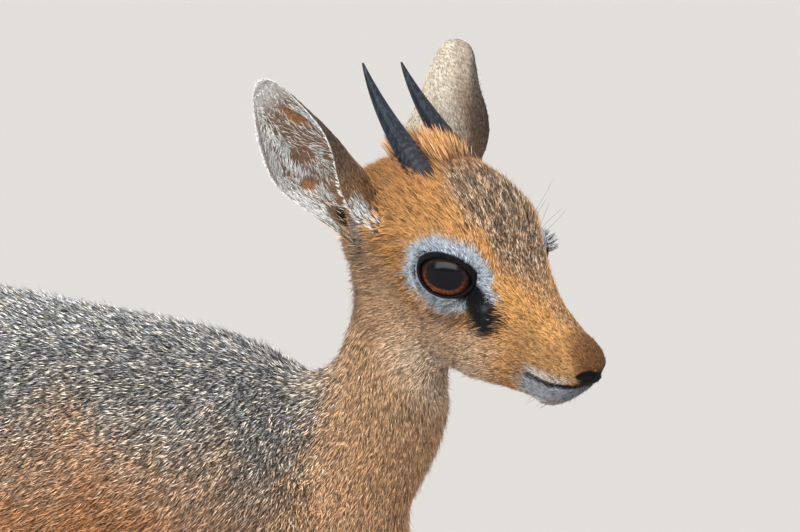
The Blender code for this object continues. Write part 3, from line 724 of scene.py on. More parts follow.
coatShades = {
    "faceOrange": shade(204, 150, 90),
    "faceTan": shade(214, 170, 126),
    "foreheadDark": shade(156, 130, 110),
    "noseBrown": shade(96, 62, 38),
    "muzzle": shade(168, 124, 78),
    "cheek": shade(244, 202, 162),
    "jawPale": shade(246, 214, 184),
    # the ring's white hair, with a painted blue tint of the sky's light
    "ringWhiteSkyTinted": shade(176, 184, 194),
    "underEye": shade(96, 70, 58),
    "black": shade(8, 8, 10),
    "gland": shade(9, 9, 12),
    # painted highlight on the wet gland
    "glandPaintedSheen": shade(108, 108, 116),
    "lipPale": shade(176, 166, 156),
    "chin": shade(146, 149, 154),
    "crown": shade(206, 146, 88),
    "nape": shade(166, 138, 110),
    "neckSide": shade(230, 186, 144),
    "neckLow": shade(240, 190, 146),
    "throat": shade(252, 218, 186),
    "backGrey": shade(172, 173, 174),
    "backDark": shade(122, 118, 115),
    "flank": shade(188, 152, 122),
    "flankLow": shade(176, 122, 80),
    "belly": shade(224, 210, 190),
    "leg": shade(190, 140, 96),
    "legInner": shade(222, 202, 176),
    "shin": shade(184, 134, 92),
    "earBack": shade(212, 198, 178),
    "earBase": shade(190, 138, 92),
    "earBare": shade(140, 108, 86),
    "earWhite": shade(240, 237, 232),
    "earStrip": shade(104, 72, 46),
    "earMargin": shade(74, 64, 58),
    "earRoot": shade(190, 188, 186),
    # painted shadow below and behind the ear
    "earPaintedShadow": shade(78, 72, 70),
    "earSpot": shade(196, 192, 188),
    "tailUnder": shade(230, 222, 210),
    "paleTip": shade(204, 190, 168),
    "crestPale": shade(226, 172, 118),
    "crestDark": shade(150, 106, 70),
    "feeler": shade(44, 38, 34),
}


regions = {
    # a point on the border, the way it faces, and how far before and behind it the one passes into the other
    "head": ((61, 3, 371), (0.80, -0.10, 0.60), -7, 7),
    "neck": ((55, 0, 332), (0.73, 0, 0.686), -16, 14),
    "ears": 408,  # all above this is head
    "hip": 254,  # where the legs' outer sides begin, and lower down the whole of them
    "belly": 218,
    "tail": (-287, 290),
}


def past(points, border):
    place, way, start, end = border
    return soft((points - place) @ unit(way), start, end)


def regionShares(points):
    # how far each point belongs to head, neck, legs and tail; what is left is trunk
    x, y, z = points.T
    head = np.maximum(past(points, regions["head"]) * (x > 10), (z > regions["ears"]) * 1.0)
    neckShare = past(points, regions["neck"]) * (1 - head)
    outside = soft(regions["hip"] - z, 0, 34) * soft(np.abs(y), 18, 32)
    leg = np.maximum(soft(regions["belly"] - z, 0, 10), outside)
    tailShare = soft(regions["tail"][0] - x, 0, 7) * (z > regions["tail"][1])
    return head, neckShare * (1 - leg), leg, tailShare


def layOf(points, normals):
    # the way the hair points, from root to tip, in the body's frame
    head, neckShare, leg, tailShare = regionShares(points)
    x, y, z = points.T
    way = np.column_stack([np.full(len(points), -1.0), 0 * x, -0.22 - 0.35 * soft(np.abs(y), 20, 50)])
    way[:, 2] -= 1.1 * soft(x, -45, 30) * (normals[:, 2] > -0.5)
    way[:, 2] += 0.35 * (normals[:, 2] < -0.6)
    down = np.column_stack([-0.06 - 0.75 * soft(355 - z, 0, 55), 0 * x, np.full(len(points), -1.0)])
    way = mix(unit(way), unit(down), neckShare)
    way = mix(way, unit(np.tile([-0.14, 0, -1.0], (len(points), 1))), leg)
    way = mix(way, unit(np.tile([-0.3, 0, -1.0], (len(points), 1))), tailShare)
    # on the head it runs back from the nose, down over the cheeks, and away from the eyes
    q = toHead(points)
    f, u, s = q.T
    base = np.column_stack([np.full(len(q), -1.0), -0.75 * soft(14 - u, 0, 26) * soft(40 - f, 0, 30), 0 * s])
    base[:, 1] -= 0.25 * soft(14 - u, 0, 20)
    out, _, distance = almond(q)
    fromEye = unit(q - eyeMiddles(q))
    away = 1.5 * np.exp(-(((out - 1.0) / 0.75) ** 2)) * (distance < 24)
    headWay = unit(base) + fromEye * away[:, None]
    way = mix(way, unit(headWay @ headAxes), head)
    way = way - normals * (way * normals).sum(axis=1, keepdims=True)
    return unit(way)


def bodyMarks(points, normals):
    # colour and grizzle (how strongly each hair is banded) over neck, trunk, legs and tail
    x, y, z = points.T
    side = np.abs(y)
    c = coatShades
    count = len(points)
    colour = np.tile(c["backGrey"], (count, 1))
    wander = 7 * np.sin(x * 0.045 + 1.0) + 5 * np.sin(x * 0.11 + z * 0.07) + 4 * np.sin(y * 0.2 + x * 0.2)
    level = z + wander
    colour = mix(colour, c["backDark"], 0.8 * mound(points * (1, 0, 1), (-40, 0, 355), (80, 1, 16)))
    flank = soft(352 - level, 0, 30)
    colour = mix(colour, c["flank"], flank)
    colour = mix(colour, c["flankLow"], soft(322 - level, 0, 30))
    grizzle = 1 - 0.62 * soft(342 - level, 0, 42)
    rump = soft(-215 - x, 0, 50)
    colour = mix(colour, c["flank"], 0.45 * rump)
    # dark band down the front of the shoulder
    band = mound(np.column_stack([x - 0.1 * (z - 338), z]), (17, 336), (12, 34)) * soft(side, 4, 20)
    colour = mix(colour, c["backDark"], 0.9 * band)
    grizzle = np.maximum(grizzle, band)
    under = soft(-normals[:, 2], 0.25, 0.75) * soft(262 - z, -10, 10)
    colour = mix(colour, c["belly"], under)
    grizzle = grizzle * (1 - 0.9 * under)
    _, neckShare, leg, tailShare = regionShares(points)
    # neck: tan streaked sides, greyish nape, paler throat
    rear = soft(58 - x + (z - 370) * 0.1, 10, 26)
    neckColour = mix(np.tile(c["neckSide"], (count, 1)), c["nape"], 0.9 * rear)
    neckColour = mix(neckColour, c["neckLow"], soft(352 - z, 0, 30) * (1 - rear))
    neckColour = mix(neckColour, c["throat"], soft(x, 70, 84) * soft(z, 330, 372))
    toNeck = soft(x - 24 - 0.25 * (z - 304), -8, 10)
    toNeck = np.maximum(toNeck, neckShare)
    colour = mix(colour, neckColour, toNeck)
    grizzle = mix(grizzle, 0.58 + 0.30 * rear, toNeck)
    # breast under the neck
    breast = soft(x, 30, 52) * soft(325 - z, 0, 30)
    colour = mix(colour, c["neckLow"], 0.8 * breast)
    grizzle = grizzle * (1 - 0.5 * breast)
    # legs: rufous outside and in front, pale inside and behind
    inner = soft(-normals[:, 1] * np.sign(y), 0.1, 0.8) * soft(z, 60, 150)
    legColour = mix(c["leg"], c["shin"], soft(150 - z, 0, 60))
    legColour = mix(legColour, c["legInner"], inner)
    legColour = mix(legColour, c["backDark"], 0.35 * soft(34 - z, 0, 14))
    colour = mix(colour, legColour, leg)
    grizzle = mix(grizzle, 0.18 * (1 - inner), leg)
    tailColour = mix(c["backGrey"], c["tailUnder"], soft(normals[:, 0], 0.0, 0.6))
    colour = mix(colour, tailColour, tailShare)
    return colour, np.clip(grizzle, 0, 1)


def stroke(points, start, end, wideStart, wideEnd):
    # 1 along a line from start to end, falling off over a width that changes along it
    start, end = np.array(start, float), np.array(end, float)
    t = np.clip((points - start) @ (end - start) / ((end - start) @ (end - start)), 0, 1)
    distance = np.linalg.norm(points - start - t[:, None] * (end - start), axis=1)
    return 1 - soft(distance / (wideStart + (wideEnd - wideStart) * t), 0.75, 1.15)


def headMarks(q):
    # colour and grizzle over the head, whose two sides are alike
    f, u, s = q.T
    a = np.abs(s)
    m = np.column_stack([f, u, a])
    c = coatShades
    colour = np.tile(c["faceOrange"], (len(q), 1))
    out, angle, distance = almond(q)
    near = distance < 26
    wander = 1.2 * np.sin(f * 0.5 + u * 0.3) + 1.0 * np.sin(f * 0.23 - a * 0.6)
    colour = mix(colour, c["crown"], soft(-14 - f, 0, 10) * soft(u, 8, 20))
    # cheek, jaw and throat grow paler downwards
    colour = mix(colour, c["neckSide"], soft(-6 - f, 0, 14) * soft(-6 - u, 0, 12))
    cheek = soft(-13 - u + 0.25 * f + wander, 0, 9) * soft(44 - f, 0, 12) * soft(f, -26, -8)
    colour = mix(colour, c["cheek"], cheek)
    jaw = soft(-29 - u + 0.15 * f + wander, 0, 8) * soft(52 - f, 0, 10) * soft(f, -16, 2)
    colour = mix(colour, c["jawPale"], jaw)
    colour = mix(colour, c["faceTan"], 0.5 * soft(-30 - f, 0, 16) * soft(10 - u, 0, 12))
    colour = mix(colour, c["muzzle"], soft(f, 22, 40) * soft(5 - u + wander, 0, 6))
    # grizzled dark forehead, from between the horns down the bridge of the nose
    border = np.interp(f, [-40, -22, -12, 0, 10, 19, 27, 40, 70], [5, 12, 18, 18.5, 16, 12.5, 9.5, 5, 3])
    forehead = soft(border + wander - a, -3.0, 3.5) * soft(u, 4, 9)
    forehead = forehead * soft(f, -30, -18) * (1 - 0.45 * soft(f, 16, 34))
    colour = mix(colour, c["foreheadDark"], 0.8 * forehead)
    grizzle = np.maximum(0.22 + 0.75 * forehead, 0.60 * np.maximum(cheek, jaw))
    nose = soft(f, 46, 60) * soft(u + 0.5 * (f - 50) - 0.35 * a, 1, 7)
    colour = mix(colour, c["noseBrown"], 0.85 * nose)
    # white ring, widest before the eye, with its brown lower neighbour and the black gland
    under = stroke(m, (2, -18.5, 22.5), (17, -11.5, 21), 3.2, 3.6)
    colour = mix(colour, c["underEye"], 0.75 * under)
    # its outer edge, in times the opening, every eighth of a turn from the rear corner round below the eye
    edge = (1.46, 1.72, 1.82, 1.62, 1.46, 1.40, 1.50, 1.50, 1.46)
    wide = np.interp(angle, np.linspace(-np.pi, np.pi, 9), edge) + 0.03 * np.sin(7 * angle)
    ring = (1 - soft(out, wide - 0.05, wide + 0.12)) * near
    ring = np.maximum(ring, stroke(m, (12, 10.5, 22.0), (25, 3.5, 16.0), 2.6, 2.0))
    # white ring hair, its blue-grey partly a painted tint of sky light
    colour = mix(colour, c["ringWhiteSkyTinted"], ring)
    grizzle = grizzle * (1 - 0.85 * ring)
    tear = stroke(m, (12, 6, 25), (18, 1, 22), 3.2, 5.4)
    tear = np.maximum(tear, stroke(m, (20.5, -1, 20.5), (25.5, -4.5, 17.5), 6.6, 7.2))
    colour = mix(colour, c["gland"], tear)
    # a painted sheen: a grey highlight on the wet black gland
    colour = mix(colour, c["glandPaintedSheen"], 0.6 * mound(m, (22.6, -0.3, 19.6), (1.6, 1.6, 2.5)))
    grizzle = grizzle * (1 - 0.9 * tear)
    rim = (1 - soft(out, 0.98, 1.04)) * near
    colour = mix(colour, c["black"], rim)
    # lips, chin and nostrils
    height, onLips = lipHeight(q)
    onLips = onLips * (f > 40)
    pale = onLips * (1 - soft(height, 2.6, 6.0)) * (height > 0) * 0.95 * soft(66 - f, 0, 4)
    colour = mix(colour, c["lipPale"], pale)
    colour = mix(colour, c["chin"], soft(f, 43, 49) * soft(-height, 0.1, 0.9))
    colour = mix(colour, c["jawPale"], 0.7 * soft(f, 43, 47) * soft(-height, 7, 11))
    pad = soft(f, 65.8, 67.4) * soft(0.9 - u - 0.55 * (68.5 - f), 0, 1.0) * (height > -0.6)
    colour = mix(colour, c["black"], np.maximum(pad, soft(pitShare(q, nostril), 0.08, 0.3)))
    colour = mix(colour, c["black"], onLips * np.exp(-((height / 1.3) ** 4)))
    # behind and below the ear a dark grey painted shadow of the ear, with a pale spot in it
    colour = mix(colour, c["earPaintedShadow"], 0.9 * mound(m, (-37, -17, 22), (4.2, 6.0, 9)))
    colour = mix(colour, c["earSpot"], 0.95 * mound(m, (-41, -6, 22), (5.5, 4.5, 9)))
    grizzle = grizzle * (1 - 0.8 * soft(f, 40, 46) * soft(1.5 - height, 0, 2))
    return colour, np.clip(grizzle, 0, 1)


def earPatch(t, v, patch):
    # 1 inside a slanted oval of the ear's cup
    along, across, long, wide, slant, _ = patch
    out = np.hypot((t - along) / long, (v - across - slant * (t - along)) / wide)
    return 1 - soft(out, 0.8, 1.2)


def earMarks(t, v, inner):
    # outer face tan-grey with an orange base and a dark margin; cup bare in patches between pale margins
    c = coatShades
    outer = mix(np.tile(c["earBack"], (len(t), 1)), c["earBase"], 1 - soft(t, 0.25, 0.5))
    strip = 0.9 * soft(v, 0.15, 0.6) * soft(t, 0.1, 0.25) * (1 - 0.6 * soft(t, 0.6, 0.9))
    outer = mix(outer, c["earStrip"], strip)
    curl = through(ears["sheet"] + ears["tips"]["left"], t)[:, 2]
    outer = mix(outer, c["earMargin"], 0.8 * soft(np.abs(v) * curl, 46, 64) * soft(t, 0.35, 0.6))
    outer = mix(outer, c["earRoot"], soft(v, 0.72, 0.85) * soft(0.34 - t, 0, 0.08))
    bare = np.tile(c["earBare"], (len(t), 1))
    for patch in ears["patches"]:
        bare = mix(bare, shade(*patch[5]), earPatch(t, v, patch))
    margin = np.maximum(0.5 * soft(np.abs(v), 0.7, 0.9), 0.8 * soft(t, 0.82, 0.93))
    bare = mix(bare, c["earWhite"] * 0.7, margin)
    colour = mix(outer, bare, inner)
    return colour, np.where(inner > 0, 0.0, 0.12)


def marksOf(points, normals, place=None):
    # the body's and the head's markings, and those of the ears where the place on them is known
    head = regionShares(points)[0]
    colour, grizzle = bodyMarks(points, normals)
    headColour, headGrizzle = headMarks(toHead(points))
    colour, grizzle = mix(colour, headColour, head), mix(grizzle, headGrizzle, head)
    if place is not None:
        ear = place[:, 2] > 1.4
        inner = (np.abs(place[:, 2] - 1.5) < 0.1) | (np.abs(place[:, 2] - 3.5) < 0.1)
        earColour, earGrizzle = earMarks(place[:, 0], place[:, 1], inner * 1.0)
        base = ear * soft(place[:, 0], 0.12 - 0.08 * inner, 0.3 - 0.2 * inner)
        colour, grizzle = mix(colour, earColour, base), mix(grizzle, earGrizzle, base)
    return colour, grizzle


def flowOf(points):
    # coordinates drawn out along the lay of the hair, for streaks in the skin's colour and bump
    head, neckShare, leg, tailShare = regionShares(points)
    x, y, z = points.T
    along = x * 0.97 + z * 0.25
    flow = np.column_stack([0.3 * along, y, z * 0.97 - x * 0.25])
    down = np.column_stack([x * 0.93 - z * 0.37, y, 0.22 * (z * 0.93 + x * 0.37)])
    flow = mix(flow, down, np.clip(neckShare + tailShare, 0, 1))
    flow = mix(flow, np.column_stack([x, y, 0.22 * z]), leg)
    return mix(flow, toHead(points) * (0.28, 1, 1), head)


def readNormals(mesh):
    normals = np.zeros(len(mesh.vertices) * 3, np.float32)
    mesh.vertex_normals.foreach_get("vector", normals)
    return normals.reshape(-1, 3).astype(float)


skinNormals = readNormals(skin.data)
skinColour, skinGrizzle = marksOf(skinPoints, skinNormals, skinPlace)
setAttribute(skin.data, "tint", np.column_stack([skinColour, skinGrizzle]))
setAttribute(skin.data, "flow", flowOf(skinPoints))
print("markings")


# The coat. Each tuft is a thin three-sided spike
def tuftMesh(
    name, roots, normals, lay, length, width, lift, bend, tint, chance, spots, levels=(0.0, 0.5), sunk=0.35
):
    # its middle line is root + length * (s cos(lift) along the lay + (s sin(lift) - bend s^2) along the
    # normal), s from 0 at the root to 1 at the tip, with a ring at each of the levels; its width is three
    # quarters at the root and nearly full a quarter of the way up, and shrinks with s^2 from there
    count = len(roots)
    length, width, lift = (np.broadcast_to(v, count)[:, None, None] for v in (length, width, lift))
    bend = np.broadcast_to(bend, count)[:, None, None]
    side = np.cross(lay, normals)
    steps = np.array([*levels, 1.0])[None, :, None]
    line = (roots - normals * sunk)[:, None] + length * (
        steps * np.cos(lift) * lay[:, None] + (steps * np.sin(lift) - bend * steps**2) * normals[:, None]
    )
    swell = np.array([0.75 + 0.25 * min(1, s * 4) - 0.35 * s**2 for s in levels])[None, :, None]
    half = 0.5 * width * swell
    rings = np.stack(
        [
            line[:, :-1] - side[:, None] * half,
            line[:, :-1] + side[:, None] * half,
            line[:, :-1] + normals[:, None] * half * 1.1,
        ],
        axis=2,
    )
    rows = len(levels)
    each = rows * 3 + 1
    points = np.concatenate([rings.reshape(count, rows * 3, 3), line[:, -1:]], axis=1)
    start = np.arange(count)[:, None, None] * each
    loop = np.array([[0, 1], [1, 2], [2, 0]])
    level = (np.arange(rows - 1) * 3)[:, None]
    low, high = level + loop[:, 0], level + loop[:, 1]
    quads = np.stack([low, high, high + 3, low + 3], axis=-1)
    quads = (start + quads.reshape(1, -1, 4)).reshape(-1, 4)
    top, tip = (rows - 1) * 3, each - 1
    cap = np.array([[0, 2, 1], [top, top + 1, tip], [top + 1, top + 2, tip], [top + 2, top, tip]])
    tris = (start + cap[None]).reshape(-1, 3)
    along = np.append(np.repeat(levels, 3), 1.0)
    made = addMesh(
        name,
        points.reshape(-1, 3),
        quads,
        tris,
        tint=np.repeat(tint, each, axis=0),
        along=np.tile(along, count),
        chance=np.repeat(chance, each),
    )
    # on the map for baking each tuft is a small patch at its root's place on the unwrapped skin
    patch = np.column_stack([np.append(np.tile([0, 0.5, 1.0], rows), 0.5), along]) * 0.003
    uv = (spots[:, None] * 0.99 + 0.002 + patch[None]).reshape(-1, 2)
    corner = np.zeros(len(made.data.loops), np.int32)
    made.data.loops.foreach_get("vertex_index", corner)
    made.data.uv_layers.new(name="OFBake").data.foreach_set("uv", uv[corner].astype(np.float32).ravel())
    return made


def scatter(mesh, chance, shareOf, spacing, triesPerCell=2.6):
    # even random points on the skin: several tries on each face by its area, then one kept in each small cell
    mesh.calc_loop_triangles()
    tris = np.zeros(len(mesh.loop_triangles) * 3, np.int32)
    mesh.loop_triangles.foreach_get("vertices", tris)
    tris = tris.reshape(-1, 3)
    share = shareOf[tris].mean(axis=1)
    tris, share = tris[share > 0.02], share[share > 0.02]
    a, b, c = (skinPoints[tris[:, i]] for i in range(3))
    area = np.linalg.norm(np.cross(b - a, c - a), axis=1) / 2
    tries = area * triesPerCell / spacing**2 * share
    count = np.floor(tries + chance.random(len(tries))).astype(int)
    pick = np.repeat(np.arange(len(tris)), count)
    r, s = chance.random((2, len(pick)))
    turn = r + s > 1
    r[turn], s[turn] = 1 - r[turn], 1 - s[turn]
    weights = np.column_stack([1 - r - s, r, s])
    roots = (skinPoints[tris[pick]] * weights[..., None]).sum(axis=1)
    normals = unit((skinNormals[tris[pick]] * weights[..., None]).sum(axis=1))
    code = cellCodes(np.floor(roots / spacing + chance.random(3)).astype(np.int64))
    order = chance.permutation(len(code))
    keep = np.sort(order[np.unique(code[order], return_index=True)[1]])
    return roots[keep], normals[keep]


def turnShare(aside, ahead):
    # an angle as a share of a whole turn
    return np.arctan2(aside, ahead) / (2 * np.pi) + 0.5


def unwrapped(points):
    # a root's place on a flat unwrap of head, neck, trunk or leg: angle round it, and distance along it
    head, neckShare, leg, _ = regionShares(points)
    x, y, z = points.T
    q = toHead(points)
    flat = np.column_stack([turnShare(y, z - 305), (x + 320) / 420])
    neckMap = np.column_stack([turnShare(y - 2, x - 58 + 0.3 * (360 - z)), (z - 280) / 140])
    headMap = np.column_stack([turnShare(q[:, 2], q[:, 1] + 5), (q[:, 0] + 72) / 150])
    foot = (x < -100) * 2 + (y < 0)
    middle = np.where(x < -100, -225 - 0.1 * (260 - z), 5)
    legMap = np.column_stack([(turnShare(np.abs(y) - 36, x - middle) + foot) / 4, z / 270])
    flat = np.where((neckShare > 0.5)[:, None], neckMap, flat)
    flat = np.where((leg > 0.5)[:, None], legMap, flat)
    return np.clip(np.where((head > 0.5)[:, None], headMap, flat), 0, 1)


def turned(lay, normals, angle):
    # the lay turned by an angle in the skin
    side = np.cross(normals, lay)
    return lay * np.cos(angle)[:, None] + side * np.sin(angle)[:, None]


coatStyle = {
    "seed": 11,
    "mostPerPiece": 48000,
    "stray": (0.07, 15),  # share of hairs that stand up, and by how many degrees more
    # spacing, length, width, lift and spread of direction in degrees, size of a lock, how much locks and
    # single hairs differ in shade, and how far off a hair may take its colour
    "torso": (1.08, 6.5, 0.92, 16, 20, 1.3, (0.42, 0.30), 5.0),
    "neck": (0.60, 6.2, 0.66, 11, 10, 1.3, (0.72, 0.42), 3.0),
    "head": (0.52, 4.6, 0.54, 13, 11, 1.2, (0.75, 0.45), 1.7),
    "legs": (1.22, 8.0, 0.95, 8, 9, 1.5, (0.36, 0.26), 3.0),
    "tail": (0.95, 13.0, 0.80, 12, 14, 1.8, (0.3, 0.3), 2.0),
}
rng = np.random.default_rng(coatStyle["seed"])


def headLength(q):
    # the face's hair is shortest on the nose and lips, and longer on cheeks, crown and behind the jaw
    f, u, s = q.T
    share = 1.0 - 0.55 * soft(f, 20, 62) + 0.45 * soft(-14 - f, 0, 25)
    share = share + 0.35 * soft(-22 - u, 0, 14) * soft(30 - f, 0, 20)
    share = share + 0.25 * soft(u, 12, 22) * soft(20 - f, 0, 20)
    out, _, distance = almond(q)
    nearGland = mound(np.column_stack([f, u, np.abs(s)]), (22, -1.5, 19.5), 6)
    return share * (1 - 0.38 * (1 - soft(out, 1.2, 1.9)) * (distance < 26)) * (1 - 0.6 * nearGland)


def coatRegions():
    # for each kind of coat, how much of it grows at each point of the skin
    head, neckShare, leg, tailShare = regionShares(skinPoints)
    isEar = (skinPlace[:, 2] > 1.4) & (skinPlace[:, 0] > 0.16)
    q = toHead(skinPoints)
    out, _, distance = almond(q)
    bare = (1 - soft(out, 0.98, 1.03)) * (distance < 24)
    height, onLips = lipHeight(q)
    bare = np.maximum(bare, onLips * (q[:, 0] > 40) * (np.abs(height) < 1.0))
    bare = np.maximum(bare, soft(pitShare(q, nostril), 0.1, 0.2))
    headShare = head * (1 - bare) * ~isEar
    low = (skinPoints[:, 2] < legs["coronet"] + 1) * 1.0
    return {
        "head": headShare,
        "neck": neckShare * ~isEar,
        "legs": leg * (1 - low),
        "tail": tailShare,
        "torso": np.clip(1 - head - neckShare - leg - tailShare, 0, 1) * ~isEar,
    }


def locksOf(roots, size, chance, kinds=8191):
    # hairs that stand together form a lock: three random numbers of a bell curve shared by each small cell
    cell = np.floor((roots + 0.22 * size * chance.normal(size=roots.shape)) / size).astype(np.int64)
    code = (cell @ np.array([73856093, 19349663, 83492791])) % kinds
    return chance.normal(size=(kinds, 3))[code]


def variedTint(colour, grizzle, chance, spread=(0.2, 0.2), locks=None):
    # locks and single hairs differ in shade and a little in warmth, and in banded coats some locks are
    # much darker or paler than the rest; a colour that gets too bright is brought down as a whole
    count = len(colour)
    locks = chance.normal(size=(count, 3)) if locks is None else locks
    tone = np.exp(spread[0] * locks[:, 0] + spread[1] * chance.normal(size=count)).clip(0.10, 1.6)
    strong = soft(grizzle, 0.5, 0.9) * (np.abs(locks[:, 1]) > 0.35)
    pale = colour * 0.55 + coatShades["paleTip"] * 0.45
    colour = mix(colour, np.where(locks[:, 1:2] < -0.5, pale, colour * 0.42), strong)
    warm = 0.05 * chance.normal(size=(count, 1)) * (0.6, 0, -1.0)
    colour = colour * tone[:, None] * (1 + warm)
    colour = colour * np.minimum(1, 0.80 / colour.max(axis=1, keepdims=True))
    return np.column_stack([np.maximum(colour, 0.002), grizzle])


coatPieces = []


def growCoat(kind, share, nodes, slot):
    spacing, length, width, lift, spread, lockSize, contrast, loose = coatStyle[kind]
    roots, normals = scatter(skin.data, rng, share, spacing)
    count = len(roots)
    locks = locksOf(roots, lockSize, rng)
    aside = 0.6 * locks[:, 2] + 0.4 * rng.normal(size=count)
    lay = turned(layOf(roots, normals), normals, np.radians(spread) * aside)
    grow = length * (0.72 + 0.5 * rng.random(count))
    wide = width * (0.75 + 0.5 * rng.random(count))
    q = toHead(roots)
    if kind == "head":
        grow = grow * headLength(q)
        wide = wide * (1 - 0.25 * soft(q[:, 0], 30, 60))
    if kind == "legs":
        low = soft(170 - roots[:, 2], 0, 90)
        grow = grow * (1 - 0.42 * low) * (0.75 + 0.25 * soft(roots[:, 2], 16, 24))
        wide = wide * (1 - 0.2 * low)
    if kind == "torso":
        grow = grow * (0.8 + 0.2 * soft(roots[:, 2], 230, 300))
    strayShare, strayLift = coatStyle["stray"]
    stray = strayLift * (rng.random(count) < strayShare)
    rise = np.radians(lift + 3 * rng.normal(size=count) + 4 * locks[:, 0] + stray).clip(0.04, 0.9)
    # the markings' edges are broken by hairs that take the colour of a place a little way off
    loose = loose * np.ones(count)
    if kind == "head":
        out, _, distance = almond(q)
        loose = np.where((distance < 26) & (out < 2.1), 0.5, loose) * (1 - 0.5 * soft(q[:, 0], 40, 50))
    colour, grizzle = marksOf(roots + loose[:, None] * rng.normal(size=(count, 3)), normals)
    if kind == "head":
        speck = (rng.random(count) < 0.16) * soft(q[:, 0], 34, 46)
        colour = mix(colour, coatShades["black"], 0.8 * speck)
    tint = variedTint(colour, grizzle, rng, contrast, locks)
    luck = rng.random(count)
    spots = unwrapped(roots)
    order = np.argsort(roots @ (0.7, 0.2, 0.3), kind="stable")
    parts = int(np.ceil(count / coatStyle["mostPerPiece"]))
    for k, part in enumerate(np.array_split(order, parts)):
        name = f"coat_{kind}" + (f"_{k + 1}" if parts > 1 else "")
        made = tuftMesh(
            name, roots[part], normals[part], lay[part], grow[part], wide[part], rise[part], 0.0,
            tint[part], luck[part], spots[part], levels=(0.0,),
        )
        coatPieces.append((made, nodes, slot))
    print("coat", kind, count, "tufts in", parts, "pieces")


shares = coatRegions()
legNodes = ["leg_front_left", "leg_front_right", "leg_rear_left", "leg_rear_right"]
for kind, nodes, slotName in (
    ("head", ["head"], "face_coat"),
    ("neck", ["neck"], "tan_coat"),
    ("torso", ["torso"], "back_coat"),
    ("legs", legNodes, "tan_coat"),
    ("tail", ["tail"], "back_coat"),
):
    growCoat(kind, shares[kind], nodes, slotName)

# Ear hair
earHair = {
    # how many are tried, the ear's share at its root that stays free, length, width, lift in degrees, bend
    "outer": {"count": 4600, "low": 0.13, "length": 3.0, "width": 0.45, "lift": 13, "bend": 0.1},
    "inner": {"count": 8600, "low": 0.08, "length": 5.6, "width": 0.30, "lift": 20, "bend": 0.22},
    "fringe": {"count": 700, "low": 0.2, "length": 3.4, "width": 0.32, "lift": 8, "bend": 0.05},
}


def earSurface(side, t, v, way):
    # place, outward normal and the two directions along the ear's face
    step = 1e-3
    here = earPoint(side, t, v, way)
    alongT = unit(earPoint(side, np.minimum(t + step, 1), v, way) - earPoint(side, t - step, v, way))
    alongV = unit(earPoint(side, t, v + step, way) - earPoint(side, t, v - step, way))
    normal = unit(np.cross(alongT, alongV))
    other = earPoint(side, t, v, -way)
    normal = normal * np.sign(((here - other) * normal).sum(axis=1, keepdims=True))
    return here, normal, alongT, alongV


def earTries(chance, count, low):
    # random places on the ear, as many as its width there asks for
    t, v = chance.uniform(low, 0.995, count * 3), chance.uniform(-0.97, 0.97, count * 3)
    _, cup, curl, _ = through(ears["sheet"] + ears["tips"]["left"], t).T
    keep = chance.random(len(t)) < cup * np.radians(curl) / 29
    return t[keep][:count], v[keep][:count]


def earTufts(kind, side, t, v, surface, lay, grow, width, lift, tint):
    # hairs rooted on one face of an ear
    here, normal = surface[:2]
    spots = np.column_stack([v * 0.5 + 0.5, t])
    made = tuftMesh(
        f"coat_ear_{kind}_{side}", toBody(here), normal @ headAxes, lay @ headAxes, grow, width,
        np.radians(lift), earHair[kind]["bend"], tint, rng.random(len(t)), spots,
    )
    coatPieces.append((made, ["ear_" + side], "ear"))


def outerHair(side, style):
    # short hair towards the tip, longer at the ear's root
    t, v = earTries(rng, style["count"], style["low"])
    surface = earSurface(side, t, v, 1)
    lay = unit(surface[2] + 0.12 * rng.normal(size=(len(t), 1)) * surface[3])
    colour, grizzle = earMarks(t, v, np.zeros(len(t)))
    dark = rng.random(len(t)) < 0.10
    colour = np.where(dark[:, None], colour * 0.5, colour)
    rim = soft(np.abs(v), 0.9, 0.96) + soft(t, 0.93, 0.99)
    grow = style["length"] * rng.uniform(0.7, 1.25, len(t))
    grow = grow * (1 + 0.5 * (1 - soft(t, 0.2, 0.45))) * (1 - 0.5 * soft(t, 0.85, 0.97))
    width = style["width"] * rng.uniform(0.75, 1.25, len(t))
    lift = style["lift"] + 6 * np.clip(rim, 0, 1)
    earTufts("outer", side, t, v, surface, lay, grow, width, lift, variedTint(colour, grizzle, rng))


def cupHair(side, style):
    # pale hairs all over but on the bare patches, combed to and fro in rows towards the tip
    t, v = earTries(rng, style["count"], style["low"])
    rows = 0.36 + 0.64 * soft(np.abs(v - 0.1), 0.4, 0.7) + 0.45 * soft(t, 0.82, 0.92)
    rows = rows * (1 - 0.5 * soft(0.35 - t, 0, 0.15) * soft(-v, 0.4, 0.6))
    for patch in ears["patches"]:
        rows = rows * (1 - 0.97 * earPatch(t, v, patch))
    keep = rng.random(len(t)) < rows
    t, v = t[keep], v[keep]
    surface = earSurface(side, t, v, -1)
    lean = 0.55 * np.sin(5.5 * v + 9 * t) - 0.35 * v + 0.25 * rng.normal(size=len(t))
    lay = unit(surface[2] + surface[3] * lean[:, None])
    edge = np.maximum(soft(np.abs(v - 0.1), 0.5, 0.85), soft(t, 0.85, 0.95))
    pale = rng.uniform(0.5, 1.1, len(t)).clip(0, 1) * (0.72 + 0.28 * edge)
    colour = coatShades["earWhite"] * 1.05 * pale[:, None]
    grow = style["length"] * rng.uniform(0.55, 1.15, len(t)) * (1 - 0.55 * soft(t, 0.6, 0.95))
    width = style["width"] * rng.uniform(0.75, 1.25, len(t))
    tint = np.column_stack([colour, np.zeros(len(t))])
    earTufts("inner", side, t, v, surface, lay, grow, width, style["lift"], tint)


